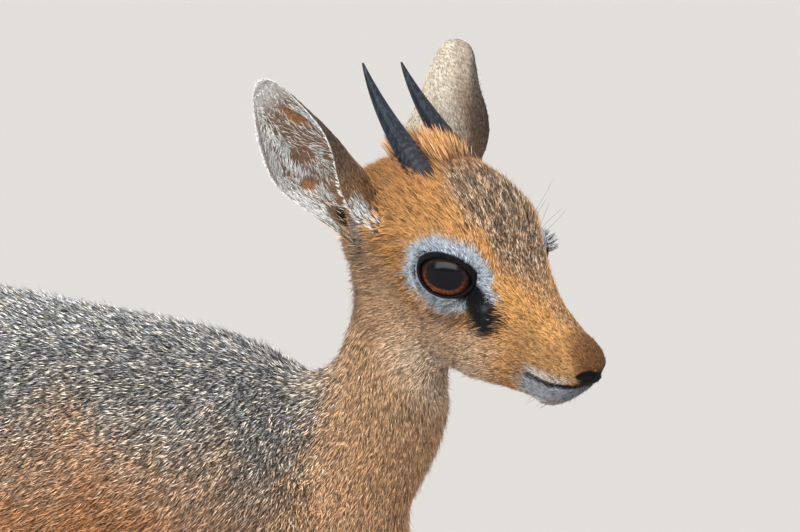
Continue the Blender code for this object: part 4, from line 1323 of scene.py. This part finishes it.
def fringeHair(side, style):
    # a fringe along the rim, pointing outwards past it
    count = style["count"]
    t = rng.uniform(style["low"], 1.0, count)
    sign = np.where(rng.random(count) < 0.5, -1.0, 1.0)
    v = sign * rng.uniform(0.93, 0.99, count)
    surface = earSurface(side, t, v, -1)
    lay = unit(surface[2] + surface[3] * (sign * rng.uniform(0.3, 0.9, count))[:, None])
    colour = np.tile(coatShades["earWhite"], (count, 1)) * rng.uniform(0.6, 1.0, (count, 1))
    grow = style["length"] * rng.uniform(0.6, 1.2, count) * (1 - 0.65 * soft(t, 0.75, 0.95))
    tint = np.column_stack([colour, np.zeros(count)])
    earTufts("fringe", side, t, v, surface, lay, grow, style["width"], style["lift"], tint)


def growEars():
    for side in ("left", "right"):
        outerHair(side, earHair["outer"])
        cupHair(side, earHair["inner"])
        fringeHair(side, earHair["fringe"])
        print("ear", side)


growEars()

# Crest of longer hair between and behind the horns
crest = {"count": 1300, "length": 14.5, "width": 0.36, "front": -27.0, "back": -50.0, "half": 9.0}
fineLevels = (0.0, 0.3, 0.6, 0.85)


def onCrown(f, s):
    # height of the skull's top at a place ahead and aside
    _, top, wide, _, half, upper, _ = through(skull["stations"], f).T
    return wide + (top - wide) * np.clip(1 - np.abs(s / half) ** upper, 0, 1) ** (1 / upper) - skull["depth"]


def growCrest():
    # hairs rooted on the crown that stand up and lean back
    count = crest["count"]
    f = rng.uniform(crest["back"], crest["front"], count)
    s = rng.uniform(-1, 1, count) * crest["half"] * (0.7 + 0.3 * rng.random(count))
    root = np.column_stack([f, onCrown(f, s), s])
    back = (crest["front"] - f) / (crest["front"] - crest["back"])
    lay = unit(np.column_stack([-0.85 + 0.15 * rng.normal(size=count), 0.55 - 0.15 * back, 0.05 * s]))
    normal = unit(np.column_stack([0.60 + 0 * f, 0.80 + 0 * f, 0.12 * s]))
    normal = unit(normal - lay * (normal * lay).sum(axis=1, keepdims=True))
    dark = (rng.random(count) < 0.25) * 1.0
    colour = mix(np.tile(coatShades["crestPale"], (count, 1)), coatShades["crestDark"], dark)
    grow = crest["length"] * rng.uniform(0.55, 1.12, count) * (1 - 0.4 * np.abs(s) / crest["half"])
    width = crest["width"] * rng.uniform(0.6, 1.2, count)
    lift = np.radians(6 + 5 * rng.normal(size=count)).clip(-0.1, 0.4)
    made = tuftMesh(
        "crest", toBody(root), normal @ headAxes, lay @ headAxes, grow, width, lift, 0.16,
        variedTint(colour, np.full(count, 0.4), rng), rng.random(count), unwrapped(toBody(root)),
        levels=fineLevels, sunk=1.0,
    )
    coatPieces.append((made, ["head"], "face_coat"))


growCrest()


# Eyes
iris = {
    "long": 7.3,  # half width and half height of the pupil, and its squareness
    "high": 4.9,
    "squareness": 2.6,
    "pupilEdge": (0.93, 1.10),
    "edge": 9.6,
    "shadow": (-5.0, 2.0),  # the heights between which the upper lid's shade sets in
    "cornea": 0.035,  # the clear front bulges by this share
    "play": 0.25,  # how much smaller the ball is than its socket
}


def makeEyeball(side):
    # a ball in rings round the line of sight, whose clear front bulges; gaze is each point's place on the
    # plain ball, along and across that line
    around = np.linspace(0, 2 * np.pi, 96, endpoint=False)
    down = np.linspace(0, np.pi, 66)[1:-1, None]
    local = np.stack(
        [np.cos(down) + 0 * around, np.sin(down) * np.cos(around), np.sin(down) * np.sin(around)], axis=-1
    )
    points, quads, fans = capped(local)
    points = unit(points)
    bulge = 1 + iris["cornea"] * soft(points[:, :1], 0.62, 0.95)
    ball = points * bulge * (eye["radius"] - iris["play"])
    placed = mirrored(eye["centre"], side) + ball @ sightFrame(side)
    return addMesh("eyeball_" + side, toBody(placed), quads, fans, gaze=points * eye["radius"])


lidStyle = {
    # how many times the opening, and how far off the ball's middle, from under the rim out to the skin
    "profile": [
        (0.79, 12.0), (0.845, 12.85), (0.865, 13.3), (0.885, 13.75), (0.90, 14.1), (0.92, 14.35),
        (0.945, 14.5), (0.975, 14.56), (1.01, 14.5), (1.04, 14.42), (1.08, 14.42), (1.13, 14.3),
        (1.2, 14.0), (1.28, 13.4), (1.38, 12.5),
    ],
    "back": [(1.34, 11.8), (1.2, 11.8), (1.05, 11.8), (0.88, 11.8)],
    "rows": 46,
    "around": 192,
    "crease": 0.22,
    "hang": 0.05,
}


def lidRim(angle, grow):
    # the almond of the opening, wider along the slit than across it, and pointed at both corners
    reach = np.where(np.cos(angle) > 0, eye["front"], eye["rear"]) * power(np.cos(angle), 0.92)
    lift = np.where(np.sin(angle) > 0, eye["upper"], eye["lower"]) * power(np.sin(angle), 1.12)
    return reach * grow, lift * grow


def makeLids(side):
    # a closed band round the opening: its outer face follows the profile, its inner face lies in the socket
    profile = np.array(lidStyle["profile"])
    keys = np.arange(len(profile))
    fine = through(np.column_stack([keys, profile]), np.linspace(0, keys[-1], lidStyle["rows"]))[:, 1:]
    fine = np.vstack([fine, lidStyle["back"]])
    angle = np.linspace(0, 2 * np.pi, lidStyle["around"], endpoint=False)[None]
    grow, radius = fine[:, :1], fine[:, 1:]
    # the upper lid folds a little above its rim, and hangs a little lower than the almond of the socket
    crease = np.exp(-(((grow - 1.02) / 0.03) ** 2)) * soft(np.sin(angle), 0.1, 0.7)
    radius = radius - lidStyle["crease"] * crease
    grow = grow - lidStyle["hang"] * soft(np.sin(angle), 0.1, 0.8) * (1 - soft(grow, 0.9, 1.1))
    b, c = lidRim(angle, grow)
    depth = np.sqrt(np.maximum(radius**2 - b**2 - c**2, 1.0))
    local = np.stack([depth, b, c], axis=-1)
    placed = mirrored(eye["centre"], side) + local @ sightFrame(side)
    rows, around = placed.shape[:2]
    i, j = np.arange(rows)[:, None] * around, np.arange(around)
    k, below = (j + 1) % around, (i + around) % (rows * around)
    quads = np.stack([i + j, i + k, below + k, below + j], axis=-1).reshape(-1, 4)
    q = placed.reshape(-1, 3)
    colour, _ = headMarks(q)
    out = grow.reshape(-1)
    upper = np.tile(soft(np.sin(angle[0]), -0.2, 0.5), rows)
    front = np.tile(soft(np.cos(angle[0] + 0.4), 0.72, 0.97), rows)
    dark = 1 - soft(out, 0.99 + 0.06 * upper + 0.14 * front, 1.05 + 0.08 * upper + 0.18 * front)
    # outside the black rim the colour is halved: painted shade on the skin between the hairs
    colour = mix(colour * 0.5, coatShades["black"], dark)
    return addMesh("lids_" + side, toBody(q), quads, tint=np.column_stack([colour, 0 * out]), wet=dark)


lashStyle = {
    "count": 100,
    "angles": (0.28 * np.pi, 0.80 * np.pi),
    "rim": 0.86,  # times the opening, and how far off the ball's middle
    "radius": 14.25,
    "length": 4.6,
    "width": 0.16,
}


def makeLashes(side):
    # black lashes along the upper lid, longest in its middle and front, bowed outwards and up
    count = lashStyle["count"]
    angle = rng.uniform(*lashStyle["angles"], count)
    b, c = lidRim(angle, lashStyle["rim"])
    local = np.column_stack([np.sqrt(lashStyle["radius"] ** 2 - b**2 - c**2), b, c])
    axes = sightFrame(side)
    root = toBody(mirrored(eye["centre"], side) + local @ axes)
    normal = unit(local) @ axes
    rise = unit(np.column_stack([0.25 + 0 * b, 0.25 * b / 12, 1.0 + 0 * b])) @ axes
    lay = unit(normal + rise * 0.22 + 0.12 * rng.normal(size=(count, 3)))
    up = unit(rise - lay * (rise * lay).sum(axis=1, keepdims=True))
    length = lashStyle["length"] * np.sin(angle) ** 0.6 * rng.uniform(0.6, 1.15, count)
    tint = np.column_stack([np.tile(coatShades["black"], (count, 1)), np.zeros(count)])
    return tuftMesh(
        "lashes_" + side, root, up @ headAxes, lay @ headAxes, length, lashStyle["width"], np.radians(-4),
        -0.2, tint, rng.random(count), unwrapped(root), levels=fineLevels, sunk=0.3,
    )


eyeballs = {side: makeEyeball(side) for side in ("left", "right")}
lids = {side: makeLids(side) for side in ("left", "right")}
lashes = {side: makeLashes(side) for side in ("left", "right")}
print("eyes")

# Long single hairs over the eyes, and short whiskers on lips and chin
feelers = [
    # root (ahead, up, aside), way, how many, length, spread of the roots
    ((9, 20.5, 17.5), (0.25, 0.95, 0.1), 3, 25.0, 2.5),
    ((2, 24, 19), (-0.1, 0.95, 0.25), 2, 16.0, 2.5),
    ((59, -6, 10.5), (-0.1, -0.55, 0.9), 7, 7.0, 5.0),
    ((56, -21, 7), (-0.2, -0.9, 0.5), 5, 5.0, 4.5),
]


def makeFeelers():
    # the same groups of hairs on both sides, each rooted at random round its place
    roots, ways, lengths = [], [], []
    for place, way, count, length, spread in feelers:
        for sign in (1, -1):
            flip = np.array([1, 1, sign])
            roots.append((np.array(place) + spread * rng.uniform(-1, 1, (count, 3)) * (1, 0.5, 0.3)) * flip)
            ways.append(unit(np.array(way) + 0.16 * rng.normal(size=(count, 3))) * flip)
            lengths.append(length * rng.uniform(0.55, 1.1, count))
    roots, ways, lengths = np.vstack(roots), np.vstack(ways), np.concatenate(lengths)
    # each root is moved on to the nearest point of the skin
    headPoints = skinPoints[(skinPlace[:, 2] > 0.5) & (skinPlace[:, 2] < 1.4)]
    onSkin = toHead(headPoints)
    nearest = np.array([np.argmin(((onSkin - root) ** 2).sum(axis=1)) for root in roots])
    roots = onSkin[nearest]
    side = unit(np.cross(ways, (0.3, 0.1, 1.0)))
    tint = np.column_stack([np.tile(coatShades["feeler"], (len(roots), 1)), np.zeros(len(roots))])
    bend = 0.12 * rng.choice([-1, 1], len(roots))
    return tuftMesh(
        "feelers", toBody(roots), side @ headAxes, ways @ headAxes, lengths, 0.12, 0.0, bend, tint,
        rng.random(len(roots)), unwrapped(toBody(roots)), levels=(0.0, 0.2, 0.4, 0.6, 0.8), sunk=0.8,
    )


feelerPiece = makeFeelers()

# Horns
horns = {
    "base": np.array([-32.0, 22.5, 13.0]),
    "tip": {"right": (-79, 42.0, 12.5), "left": (-79, 38.8, 12.5)},
    "bow": (-3.0, -1.4, 0),
    "radius": 5.0,
    "tipRadius": 0.35,
    "oval": 1.12,  # how much deeper than wide
    "sunk": 0.14,
    "ringed": 0.26,
    "rings": 5,
    "rows": 170,
    "sides": 64,
}


def makeHorn(side):
    # rings along a bowed line; the lowest quarter has raised uneven rings, and fine furrows run to the tip
    base, tip, bow = (mirrored(v, side) for v in (horns["base"], horns["tip"][side], horns["bow"]))
    t = np.linspace(-horns["sunk"], 1, horns["rows"])
    path = base + (tip - base) * t[:, None] + bow * (4 * t * (1 - t))[:, None]
    along = unit(np.gradient(path, axis=0))
    across = unit(np.cross(along, (0, 1.0, 0)))
    third = np.cross(along, across)
    out = np.clip(t, 0, 1)[:, None]
    turn = np.linspace(0, 2 * np.pi, horns["sides"], endpoint=False)[None]
    least, most = horns["tipRadius"], horns["radius"]
    taper = least + (most - least) * (1 - out**1.15) ** 0.92
    wave = out / horns["ringed"] * horns["rings"] + 0.10 * np.sin(turn * 2) + 0.06 * np.sin(turn * 3 + 1)
    fade = 1 - soft(out, horns["ringed"] * 0.7, horns["ringed"] * 1.25)
    rings = 0.5 * (np.abs(np.sin(np.pi * wave)) ** 0.7 - 0.5) * fade
    furrows = 0.09 * np.sin(turn * 13 + 0.8 * np.sin(9 * out)) * (1 - out)
    radius = taper + rings * taper / most + furrows
    rows = (
        path[:, None]
        + across[:, None] * (radius * np.cos(turn))[..., None]
        + third[:, None] * (radius * horns["oval"] * np.sin(turn))[..., None]
    )
    points, quads, fans = capped(rows)
    length = np.append(np.repeat(out, horns["sides"]), [0, 1])
    return addMesh("horn_shell_" + side, toBody(points), quads, fans, along=length)


hornPieces = {side: makeHorn(side) for side in ("left", "right")}
print("horns")


# Materials
def newMaterial(name, roughness, **values):
    made = bpy.data.materials.new(name)
    made.use_nodes = True
    shader = made.node_tree.nodes["Principled BSDF"]
    shader.inputs["Roughness"].default_value = roughness
    for socket, value in values.items():
        shader.inputs[socket.replace("_", " ")].default_value = value
    return made, made.node_tree, shader


def node(tree, kind, **settings):
    made = tree.nodes.new(kind)
    for key, value in settings.items():
        if key.startswith("in_"):
            made.inputs[key[3:].replace("_", " ")].default_value = value
        else:
            setattr(made, key, value)
    return made


def maths(tree, operation, a, b=0.0, clamp=False):
    made = node(tree, "ShaderNodeMath", operation=operation, use_clamp=clamp)
    for socket, value in zip(made.inputs, (a, b)):
        if isinstance(value, (int, float)):
            socket.default_value = value
        else:
            tree.links.new(value, socket)
    return made.outputs[0]


def blendColour(tree, kind, share, a, b):
    made = node(tree, "ShaderNodeMix", data_type="RGBA", blend_type=kind)
    for index, value in ((0, share), (6, a), (7, b)):
        if isinstance(value, (int, float)):
            made.inputs[index].default_value = value
        elif isinstance(value, (tuple, np.ndarray)):
            made.inputs[index].default_value = (*value[:3], 1)
        else:
            tree.links.new(value, made.inputs[index])
    return made.outputs[2]


def ranged(tree, source, low, high, toLow=0.0, toHigh=1.0):
    # a value carried from one span to another, and held at the ends
    span = node(
        tree, "ShaderNodeMapRange", in_From_Min=low, in_From_Max=high, in_To_Min=toLow, in_To_Max=toHigh
    )
    tree.links.new(source, span.inputs[0])
    return span.outputs[0]


def noiseOn(tree, vector, scale, detail, **settings):
    made = node(tree, "ShaderNodeTexNoise", in_Scale=scale, in_Detail=detail, **settings)
    tree.links.new(vector, made.inputs["Vector"])
    return made.outputs[0]


def bumpOn(tree, shader, height, strength, rise):
    # raises the surface by the height, which is worth so many millimetres where it is 1
    bump = node(tree, "ShaderNodeBump", in_Strength=strength, in_Distance=rise * mm)
    tree.links.new(height, bump.inputs["Height"])
    tree.links.new(bump.outputs[0], shader.inputs["Normal"])


def greyOf(tree, value):
    made = node(tree, "ShaderNodeCombineColor")
    for socket in made.inputs:
        tree.links.new(value, socket)
    return made.outputs[0]


def objectPlace(tree):
    return node(tree, "ShaderNodeTexCoord").outputs["Object"]


def newGroup(name, inputs, outputs):
    # a shader group whose sockets are given by name and kind
    group = bpy.data.node_groups.new(name, "ShaderNodeTree")
    for way, sockets in (("INPUT", inputs), ("OUTPUT", outputs)):
        for socket, kind in sockets.items():
            group.interface.new_socket(socket, in_out=way, socket_type="NodeSocket" + kind)
    start, end = group.nodes.new("NodeGroupInput"), group.nodes.new("NodeGroupOutput")
    return group, start.outputs, end.inputs


bands = {
    # place from root to tip, and brightness there
    "stops": [(0.0, 0.30), (0.28, 0.22), (0.40, 0.30), (0.47, 1.15), (0.66, 1.35), (0.76, 0.40), (1.0, 0.24)],
    "drift": 0.30,  # how far the bands move from hair to hair
    "plainTip": 1.6,
    "plainCurve": 1.6,
}


def bandedGroup():
    # colour of a hair: darker at its root, partly its own colour and partly painted shade between the hairs,
    # and in a grizzled coat a pale band below a dark tip, whose place and strength differ from hair to hair
    inputs = {"Tint": "Color", "Grizzle": "Float", "Along": "Float", "Chance": "Float", "Root": "Float"}
    group, start, end = newGroup("banded hair", inputs, {"Color": "Color"})
    tint, grizzle, along, chance, rootDarkAndShade = (start[i] for i in range(5))
    drift = maths(group, "MULTIPLY", maths(group, "SUBTRACT", chance, 0.5), bands["drift"])
    ramp = node(group, "ShaderNodeValToRGB")
    while len(ramp.color_ramp.elements) < len(bands["stops"]):
        ramp.color_ramp.elements.new(0.5)
    for element, (position, value) in zip(ramp.color_ramp.elements, bands["stops"]):
        element.position = position
        element.color = (value, value, value, 1)
    group.links.new(maths(group, "ADD", along, drift), ramp.inputs[0])
    banded = blendColour(group, "MULTIPLY", 1.0, tint, ramp.outputs[0])
    # a plain hair brightens from its root's darkness, partly painted shade between the hairs, to its tip
    curve = maths(group, "POWER", along, bands["plainCurve"])
    gain = maths(group, "MULTIPLY", curve, maths(group, "SUBTRACT", bands["plainTip"], rootDarkAndShade))
    plain = greyOf(group, maths(group, "ADD", gain, rootDarkAndShade))
    simple = blendColour(group, "MULTIPLY", 1.0, tint, plain)
    group.links.new(blendColour(group, "MIX", grizzle, simple, banded), end[0])
    return group


def streakGroup():
    # streaks drawn along the lay of the hair: a fine noise and a coarse one
    group, start, end = newGroup(
        "hair streaks", {"Flow": "Vector", "Scale": "Float"}, {"Fine": "Float", "Coarse": "Float"}
    )
    for index, factor in enumerate((1.0, 0.22)):
        noise = node(group, "ShaderNodeTexNoise", in_Detail=2.0, in_Roughness=0.6)
        group.links.new(start[0], noise.inputs["Vector"])
        group.links.new(maths(group, "MULTIPLY", start[1], factor), noise.inputs["Scale"])
        group.links.new(noise.outputs[0], end[index])
    return group


banded = bandedGroup()
streaks = streakGroup()
finishes = {
    # root: a plain hair's darkness at its root, partly painted shade between the hairs
    "coat": {"roughness": 0.75, "root": 0.13, "sheen": 0.03},
    "skin": {"streakScale": 1.5, "bump": 0.35},
    # horn: its pale blue worn colour is partly wear and partly a painted sheen
    "horn": {"dark": shade(14, 18, 25), "worn": shade(66, 78, 96), "base": shade(48, 38, 32)},
    "hoof": {"dark": shade(34, 31, 30), "worn": shade(92, 84, 78), "ringsPerMetre": 3600.0},
    "iris": {
        "brown": shade(72, 33, 20),
        "ember": shade(116, 56, 29),
        "dark": shade(18, 11, 9),
        "pupil": (0.002, 0.002, 0.003),
    },
}


def attribute(tree, name):
    return node(tree, "ShaderNodeAttribute", attribute_name=name)


def coatMaterial(name):
    style = finishes["coat"]
    made, tree, shader = newMaterial(
        name, style["roughness"], Sheen_Weight=style["sheen"], Sheen_Roughness=0.5, Specular_IOR_Level=0.12
    )
    group = node(tree, "ShaderNodeGroup", node_tree=banded, in_Root=style["root"])
    tint = attribute(tree, "tint")
    tree.links.new(tint.outputs["Color"], group.inputs["Tint"])
    tree.links.new(tint.outputs["Alpha"], group.inputs["Grizzle"])
    tree.links.new(attribute(tree, "along").outputs["Fac"], group.inputs["Along"])
    tree.links.new(attribute(tree, "chance").outputs["Fac"], group.inputs["Chance"])
    tree.links.new(group.outputs[0], shader.inputs["Base Color"])
    return made


def skinMaterial():
    # the skin is darkened by painted shade under the fur, streaked along the lay: plain coats a little,
    # and grizzled ones from nearly black to pale
    style = finishes["skin"]
    made, tree, shader = newMaterial("skin", 0.8, Specular_IOR_Level=0.2)
    tint = attribute(tree, "tint")
    group = node(tree, "ShaderNodeGroup", node_tree=streaks, in_Scale=style["streakScale"])
    tree.links.new(attribute(tree, "flow").outputs["Vector"], group.inputs["Flow"])
    fine, coarse = group.outputs
    # how dark the painted shade under the fur is: its streaks span more in grizzled coats
    depth = node(tree, "ShaderNodeMix", data_type="FLOAT")
    tree.links.new(tint.outputs["Alpha"], depth.inputs[0])
    tree.links.new(ranged(tree, fine, 0.30, 0.68, 0.25, 0.75), depth.inputs[2])
    tree.links.new(ranged(tree, fine, 0.42, 0.60, 0.16, 1.1), depth.inputs[3])
    grey = greyOf(tree, depth.outputs[0])
    colour = blendColour(tree, "MULTIPLY", 1.0, tint.outputs["Color"], grey)
    tree.links.new(colour, shader.inputs["Base Color"])
    height = maths(tree, "ADD", fine, maths(tree, "MULTIPLY", coarse, 0.6))
    bumpOn(tree, shader, height, 0.7, style["bump"])
    return made


def lidMaterial():
    # furred skin outside, and wet black skin at the rim
    made, tree, shader = newMaterial("lid skin", 0.6, Coat_Roughness=0.18, Specular_IOR_Level=0.1)
    wet = attribute(tree, "wet").outputs["Fac"]
    tree.links.new(attribute(tree, "tint").outputs["Color"], shader.inputs["Base Color"])
    tree.links.new(ranged(tree, wet, 0.0, 1.0, 0.75, 0.45), shader.inputs["Roughness"])
    tree.links.new(maths(tree, "MULTIPLY", wet, 0.06), shader.inputs["Coat Weight"])
    bumpOn(tree, shader, noiseOn(tree, objectPlace(tree), 1500.0, 3.0), 0.5, 0.12)
    return made


def eyeMaterial():
    # a level oval pupil in a red-brown iris with radial fibres, darker towards its rim, and with the upper
    # lid's shade painted over its top
    style = finishes["iris"]
    made, tree, shader = newMaterial(
        "brown eye", 0.30, Coat_Weight=0.6, Coat_Roughness=0.05, Coat_IOR=1.40, Specular_IOR_Level=0.0
    )
    split = node(tree, "ShaderNodeSeparateXYZ")
    tree.links.new(attribute(tree, "gaze").outputs["Vector"], split.inputs[0])
    _, y, z = split.outputs
    reach = [
        maths(tree, "POWER", maths(tree, "ABSOLUTE", maths(tree, "DIVIDE", part, half)), iris["squareness"])
        for part, half in ((y, iris["long"]), (z, iris["high"]))
    ]
    oval = maths(tree, "SQRT", maths(tree, "ADD", *reach))
    squares = [maths(tree, "MULTIPLY", part, part) for part in (y, z)]
    out = maths(tree, "SQRT", maths(tree, "ADD", *squares))
    polar = node(tree, "ShaderNodeCombineXYZ")
    tree.links.new(maths(tree, "MULTIPLY", maths(tree, "ARCTAN2", z, y), 9.0), polar.inputs[0])
    tree.links.new(maths(tree, "MULTIPLY", out, 0.35), polar.inputs[1])
    fibres = noiseOn(tree, polar.outputs[0], 1.0, 3.0, noise_dimensions="2D")
    colour = blendColour(tree, "MIX", ranged(tree, fibres, 0.35, 0.7), style["brown"], style["ember"])
    rim = ranged(tree, out, iris["edge"] - 1.6, iris["edge"] + 0.4)
    colour = blendColour(tree, "MIX", rim, colour, style["dark"])
    # painted shade of the upper lid on the iris's upper part
    lit = ranged(tree, z, *iris["shadow"], 1.0, 0.08)
    colour = blendColour(tree, "MIX", lit, style["dark"], colour)
    pupil = ranged(tree, oval, *iris["pupilEdge"])
    colour = blendColour(tree, "MIX", pupil, style["pupil"], colour)
    tree.links.new(colour, shader.inputs["Base Color"])
    return made


def hornMaterial():
    # black-blue horn, browner at its ringed base, with long pale bluish scratches, partly wear and partly a
    # painted sheen, and furrows
    style = finishes["horn"]
    made, tree, shader = newMaterial("horn", 0.42, Specular_IOR_Level=0.35)
    where = objectPlace(tree)
    turn = node(tree, "ShaderNodeMapping", in_Rotation=(0.3, 0.55, -0.45), in_Scale=(900, 900, 110))
    tree.links.new(where, turn.inputs[0])
    grain = noiseOn(tree, turn.outputs[0], 1.0, 4.0, in_Roughness=0.65)
    # pale bluish scratches along the grain, partly wear and partly a painted sheen
    scratch = maths(tree, "MULTIPLY", ranged(tree, grain, 0.5, 0.75), 0.6)
    colour = blendColour(tree, "MIX", scratch, style["dark"], style["worn"])
    low = ranged(tree, attribute(tree, "along").outputs["Fac"], 0.0, 0.30, 0.85, 0.0)
    brown = maths(tree, "MULTIPLY", low, noiseOn(tree, where, 120.0, 3.0), True)
    tree.links.new(blendColour(tree, "MIX", brown, colour, style["base"]), shader.inputs["Base Color"])
    tree.links.new(ranged(tree, grain, 0.3, 0.7, 0.30, 0.60), shader.inputs["Roughness"])
    bumpOn(tree, shader, grain, 0.6, 0.15)
    return made


def hoofMaterial():
    # black horn with level growth rings, worn paler towards the sole
    style = finishes["hoof"]
    made, tree, shader = newMaterial("hoof", 0.5)
    where = objectPlace(tree)
    split = node(tree, "ShaderNodeSeparateXYZ")
    tree.links.new(where, split.inputs[0])
    noise = noiseOn(tree, where, 260.0, 4.0)
    level = maths(tree, "MULTIPLY", split.outputs[2], style["ringsPerMetre"])
    level = maths(tree, "ADD", level, maths(tree, "MULTIPLY", noise, 5.0))
    rings = maths(tree, "ADD", maths(tree, "MULTIPLY", maths(tree, "SINE", level), 0.5), 0.5)
    wear = ranged(tree, split.outputs[2], 0.006, 0.0, 0.0, 0.8)
    share = maths(tree, "ADD", wear, maths(tree, "MULTIPLY", rings, 0.25))
    share = maths(tree, "MULTIPLY", share, noise, True)
    tree.links.new(blendColour(tree, "MIX", share, style["dark"], style["worn"]), shader.inputs["Base Color"])
    bumpOn(tree, shader, maths(tree, "ADD", rings, noise), 0.35, 0.3)
    return made


coatFinish = coatMaterial("coat")
skin.data.materials.clear()
skin.data.materials.append(skinMaterial())
lidFinish, eyeFinish, hornFinish, hoofFinish = lidMaterial(), eyeMaterial(), hornMaterial(), hoofMaterial()
print("materials")


# Every piece stands still on the one body
def place(piece, finish, slotName, *nodes):
    if finish is not None:
        piece.data.materials.clear()
        piece.data.materials.append(finish)
    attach(piece, "root")
    if nodes:
        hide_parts(*nodes)


place(skin, None, "face_coat", "torso", "neck", "head", "tail", "ear_left", "ear_right", *legNodes)
for piece, nodes, slotName in coatPieces:
    place(piece, coatFinish, slotName, *nodes)
for side in ("left", "right"):
    place(eyeballs[side], eyeFinish, "eye", "eye_" + side)
    place(lids[side], lidFinish, "face_coat", "head")
    place(lashes[side], coatFinish, "face_coat", "head")
    place(hornPieces[side], hornFinish, "horn", "horn_" + side)
place(feelerPiece, coatFinish, "face_coat", "head")
for name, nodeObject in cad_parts.items():
    if name.startswith("hoof"):
        nodeObject.data.materials.clear()
        nodeObject.data.materials.append(hoofFinish)

# Floor, light and camera
studio = {
    "floor": shade(168, 164, 160),
    "floorHalf": 9000,
    "world": shade(220, 219, 218),
    "zenith": shade(252, 253, 255) * 1.4,
    "worldStrength": 0.72,
    # strength, spread, azimuth and elevation in degrees, colour
    "lights": {
        "key": (3.1, 30, -26, 27, (1.0, 0.98, 0.95)),
        "fill": (0.9, 50, 70, 14, (1.0, 0.97, 0.93)),
        "back": (1.3, 40, 190, 50, (0.92, 0.96, 1.0)),
    },
    # where the window lies, and the sines of its half widths where it is full and where it ends
    "window": {
        "azimuth": -2.0,
        "elevation": 22.0,
        "across": (0.50, 0.74),
        "upward": (0.13, 0.25),
        "ahead": (0.1, 0.0),
        "colour": shade(240, 250, 255) * 8.0,
    },
    "azimuth": 15.0,  # of the camera, in degrees, with its height above the level
    "elevation": 10.0,
    "distance": 3500.0,
    "width": 308.0,  # what the photo's frame spans at the head
    "aside": 30.0,  # the eyes stand this far right of the frame's middle
}


def makeFloor(steps=13):
    # a wide plain sheet, drawn as a grid
    reach = np.linspace(-studio["floorHalf"], studio["floorHalf"], steps)
    x, y = np.meshgrid(reach, reach, indexing="ij")
    points = np.stack([x, y, 0 * x], axis=-1).reshape(-1, 3) - bodyShift
    a = (np.arange(steps - 1)[:, None] * steps + np.arange(steps - 1)).ravel()
    floor = addMesh("floor", points, np.column_stack([a, a + steps, a + steps + 1, a + 1]))
    made, _, shader = newMaterial("floor", 0.9)
    shader.inputs["Base Color"].default_value = (*studio["floor"], 1)
    floor.data.materials.append(made)


def skyway(azimuth, elevation):
    # the direction that points to a place in the sky; azimuth 0 is the animal's right, and grows ahead
    a, e = np.radians(azimuth), np.radians(elevation)
    return np.array([np.sin(a) * np.cos(e), -np.cos(a) * np.cos(e), np.sin(e)])


def placeLooking(target, place, back):
    right = unit(np.cross((0, 0, 1.0), back))
    matrix = np.eye(4)
    matrix[:3] = np.column_stack([right, np.cross(back, right), back, place])
    target.matrix_world = Matrix(matrix.tolist())


def makeLight(name, strength, spread, azimuth, elevation, colour):
    # light from so wide a part of the sky that its shadows are soft, and as strong over the whole floor
    light = bpy.data.lights.new(name, "SUN")
    light.energy = strength
    light.angle = np.radians(spread)
    light.color = colour
    lamp = bpy.data.objects.new(name, light)
    back = skyway(azimuth, elevation)
    placeLooking(lamp, back * 3, back)
    lamp.visible_glossy = False  # eyes and horns mirror the window in the sky instead
    bpy.context.scene.collection.objects.link(lamp)


def makeCamera():
    back = skyway(studio["azimuth"], studio["elevation"])
    right = skyway(studio["azimuth"] + 90, 0)
    aim = (posture["head"] + bodyShift - right * studio["aside"]) * mm
    camera = bpy.data.cameras.new("camera")
    camera.sensor_width = 36
    camera.lens = camera.sensor_width * studio["distance"] / studio["width"]
    camera.clip_end = 30
    holder = bpy.data.objects.new("camera", camera)
    placeLooking(holder, aim + back * studio["distance"] * mm, back)
    bpy.context.scene.collection.objects.link(holder)
    bpy.context.scene.camera = holder


def windowShare(tree, direction):
    # how far a direction lies in the window: the product of soft steps along its own three directions
    window = studio["window"]
    towards = skyway(window["azimuth"], window["elevation"])
    sideways = unit(np.cross((0, 0, 1.0), towards))
    upward = np.cross(towards, sideways)
    share = 1.0
    for axis, name in ((sideways, "across"), (upward, "upward"), (towards, "ahead")):
        full, none = window[name]
        part = node(tree, "ShaderNodeVectorMath", operation="DOT_PRODUCT")
        part.inputs[1].default_value = tuple(axis)
        tree.links.new(direction, part.inputs[0])
        size = part.outputs["Value"] if name == "ahead" else maths(tree, "ABSOLUTE", part.outputs["Value"])
        step = node(
            tree, "ShaderNodeMapRange", interpolation_type="SMOOTHSTEP", in_From_Min=full, in_From_Max=none,
            in_To_Min=1.0, in_To_Max=0.0,
        )
        tree.links.new(size, step.inputs[0])
        share = maths(tree, "MULTIPLY", step.outputs[0], share)
    return share


def makeSky():
    # a pale sky that brightens upwards, with one wide soft window in it
    world = bpy.data.worlds.new("studio")
    world.use_nodes = True
    tree = world.node_tree
    direction = node(tree, "ShaderNodeTexCoord").outputs["Generated"]
    split = node(tree, "ShaderNodeSeparateXYZ")
    tree.links.new(direction, split.inputs[0])
    sky = node(tree, "ShaderNodeValToRGB")
    stops = ((0.1, studio["world"]), (0.8, studio["zenith"]))
    for element, (position, colour) in zip(sky.color_ramp.elements, stops):
        element.position = position
        element.color = (*colour, 1)
    tree.links.new(split.outputs[2], sky.inputs[0])
    share = windowShare(tree, direction)
    colour = blendColour(tree, "MIX", share, sky.outputs[0], studio["window"]["colour"])
    background = tree.nodes["Background"]
    tree.links.new(colour, background.inputs[0])
    background.inputs[1].default_value = studio["worldStrength"]
    bpy.context.scene.world = world


makeFloor()
for name, values in studio["lights"].items():
    makeLight(name, *values)
makeCamera()
makeSky()
bpy.context.scene.view_settings.view_transform = "Standard"
print("studio")


def triangleCount(piece):
    piece.data.calc_loop_triangles()
    return len(piece.data.loop_triangles)


print("coats", sum(triangleCount(piece) for piece, _, _ in coatPieces), "triangles")
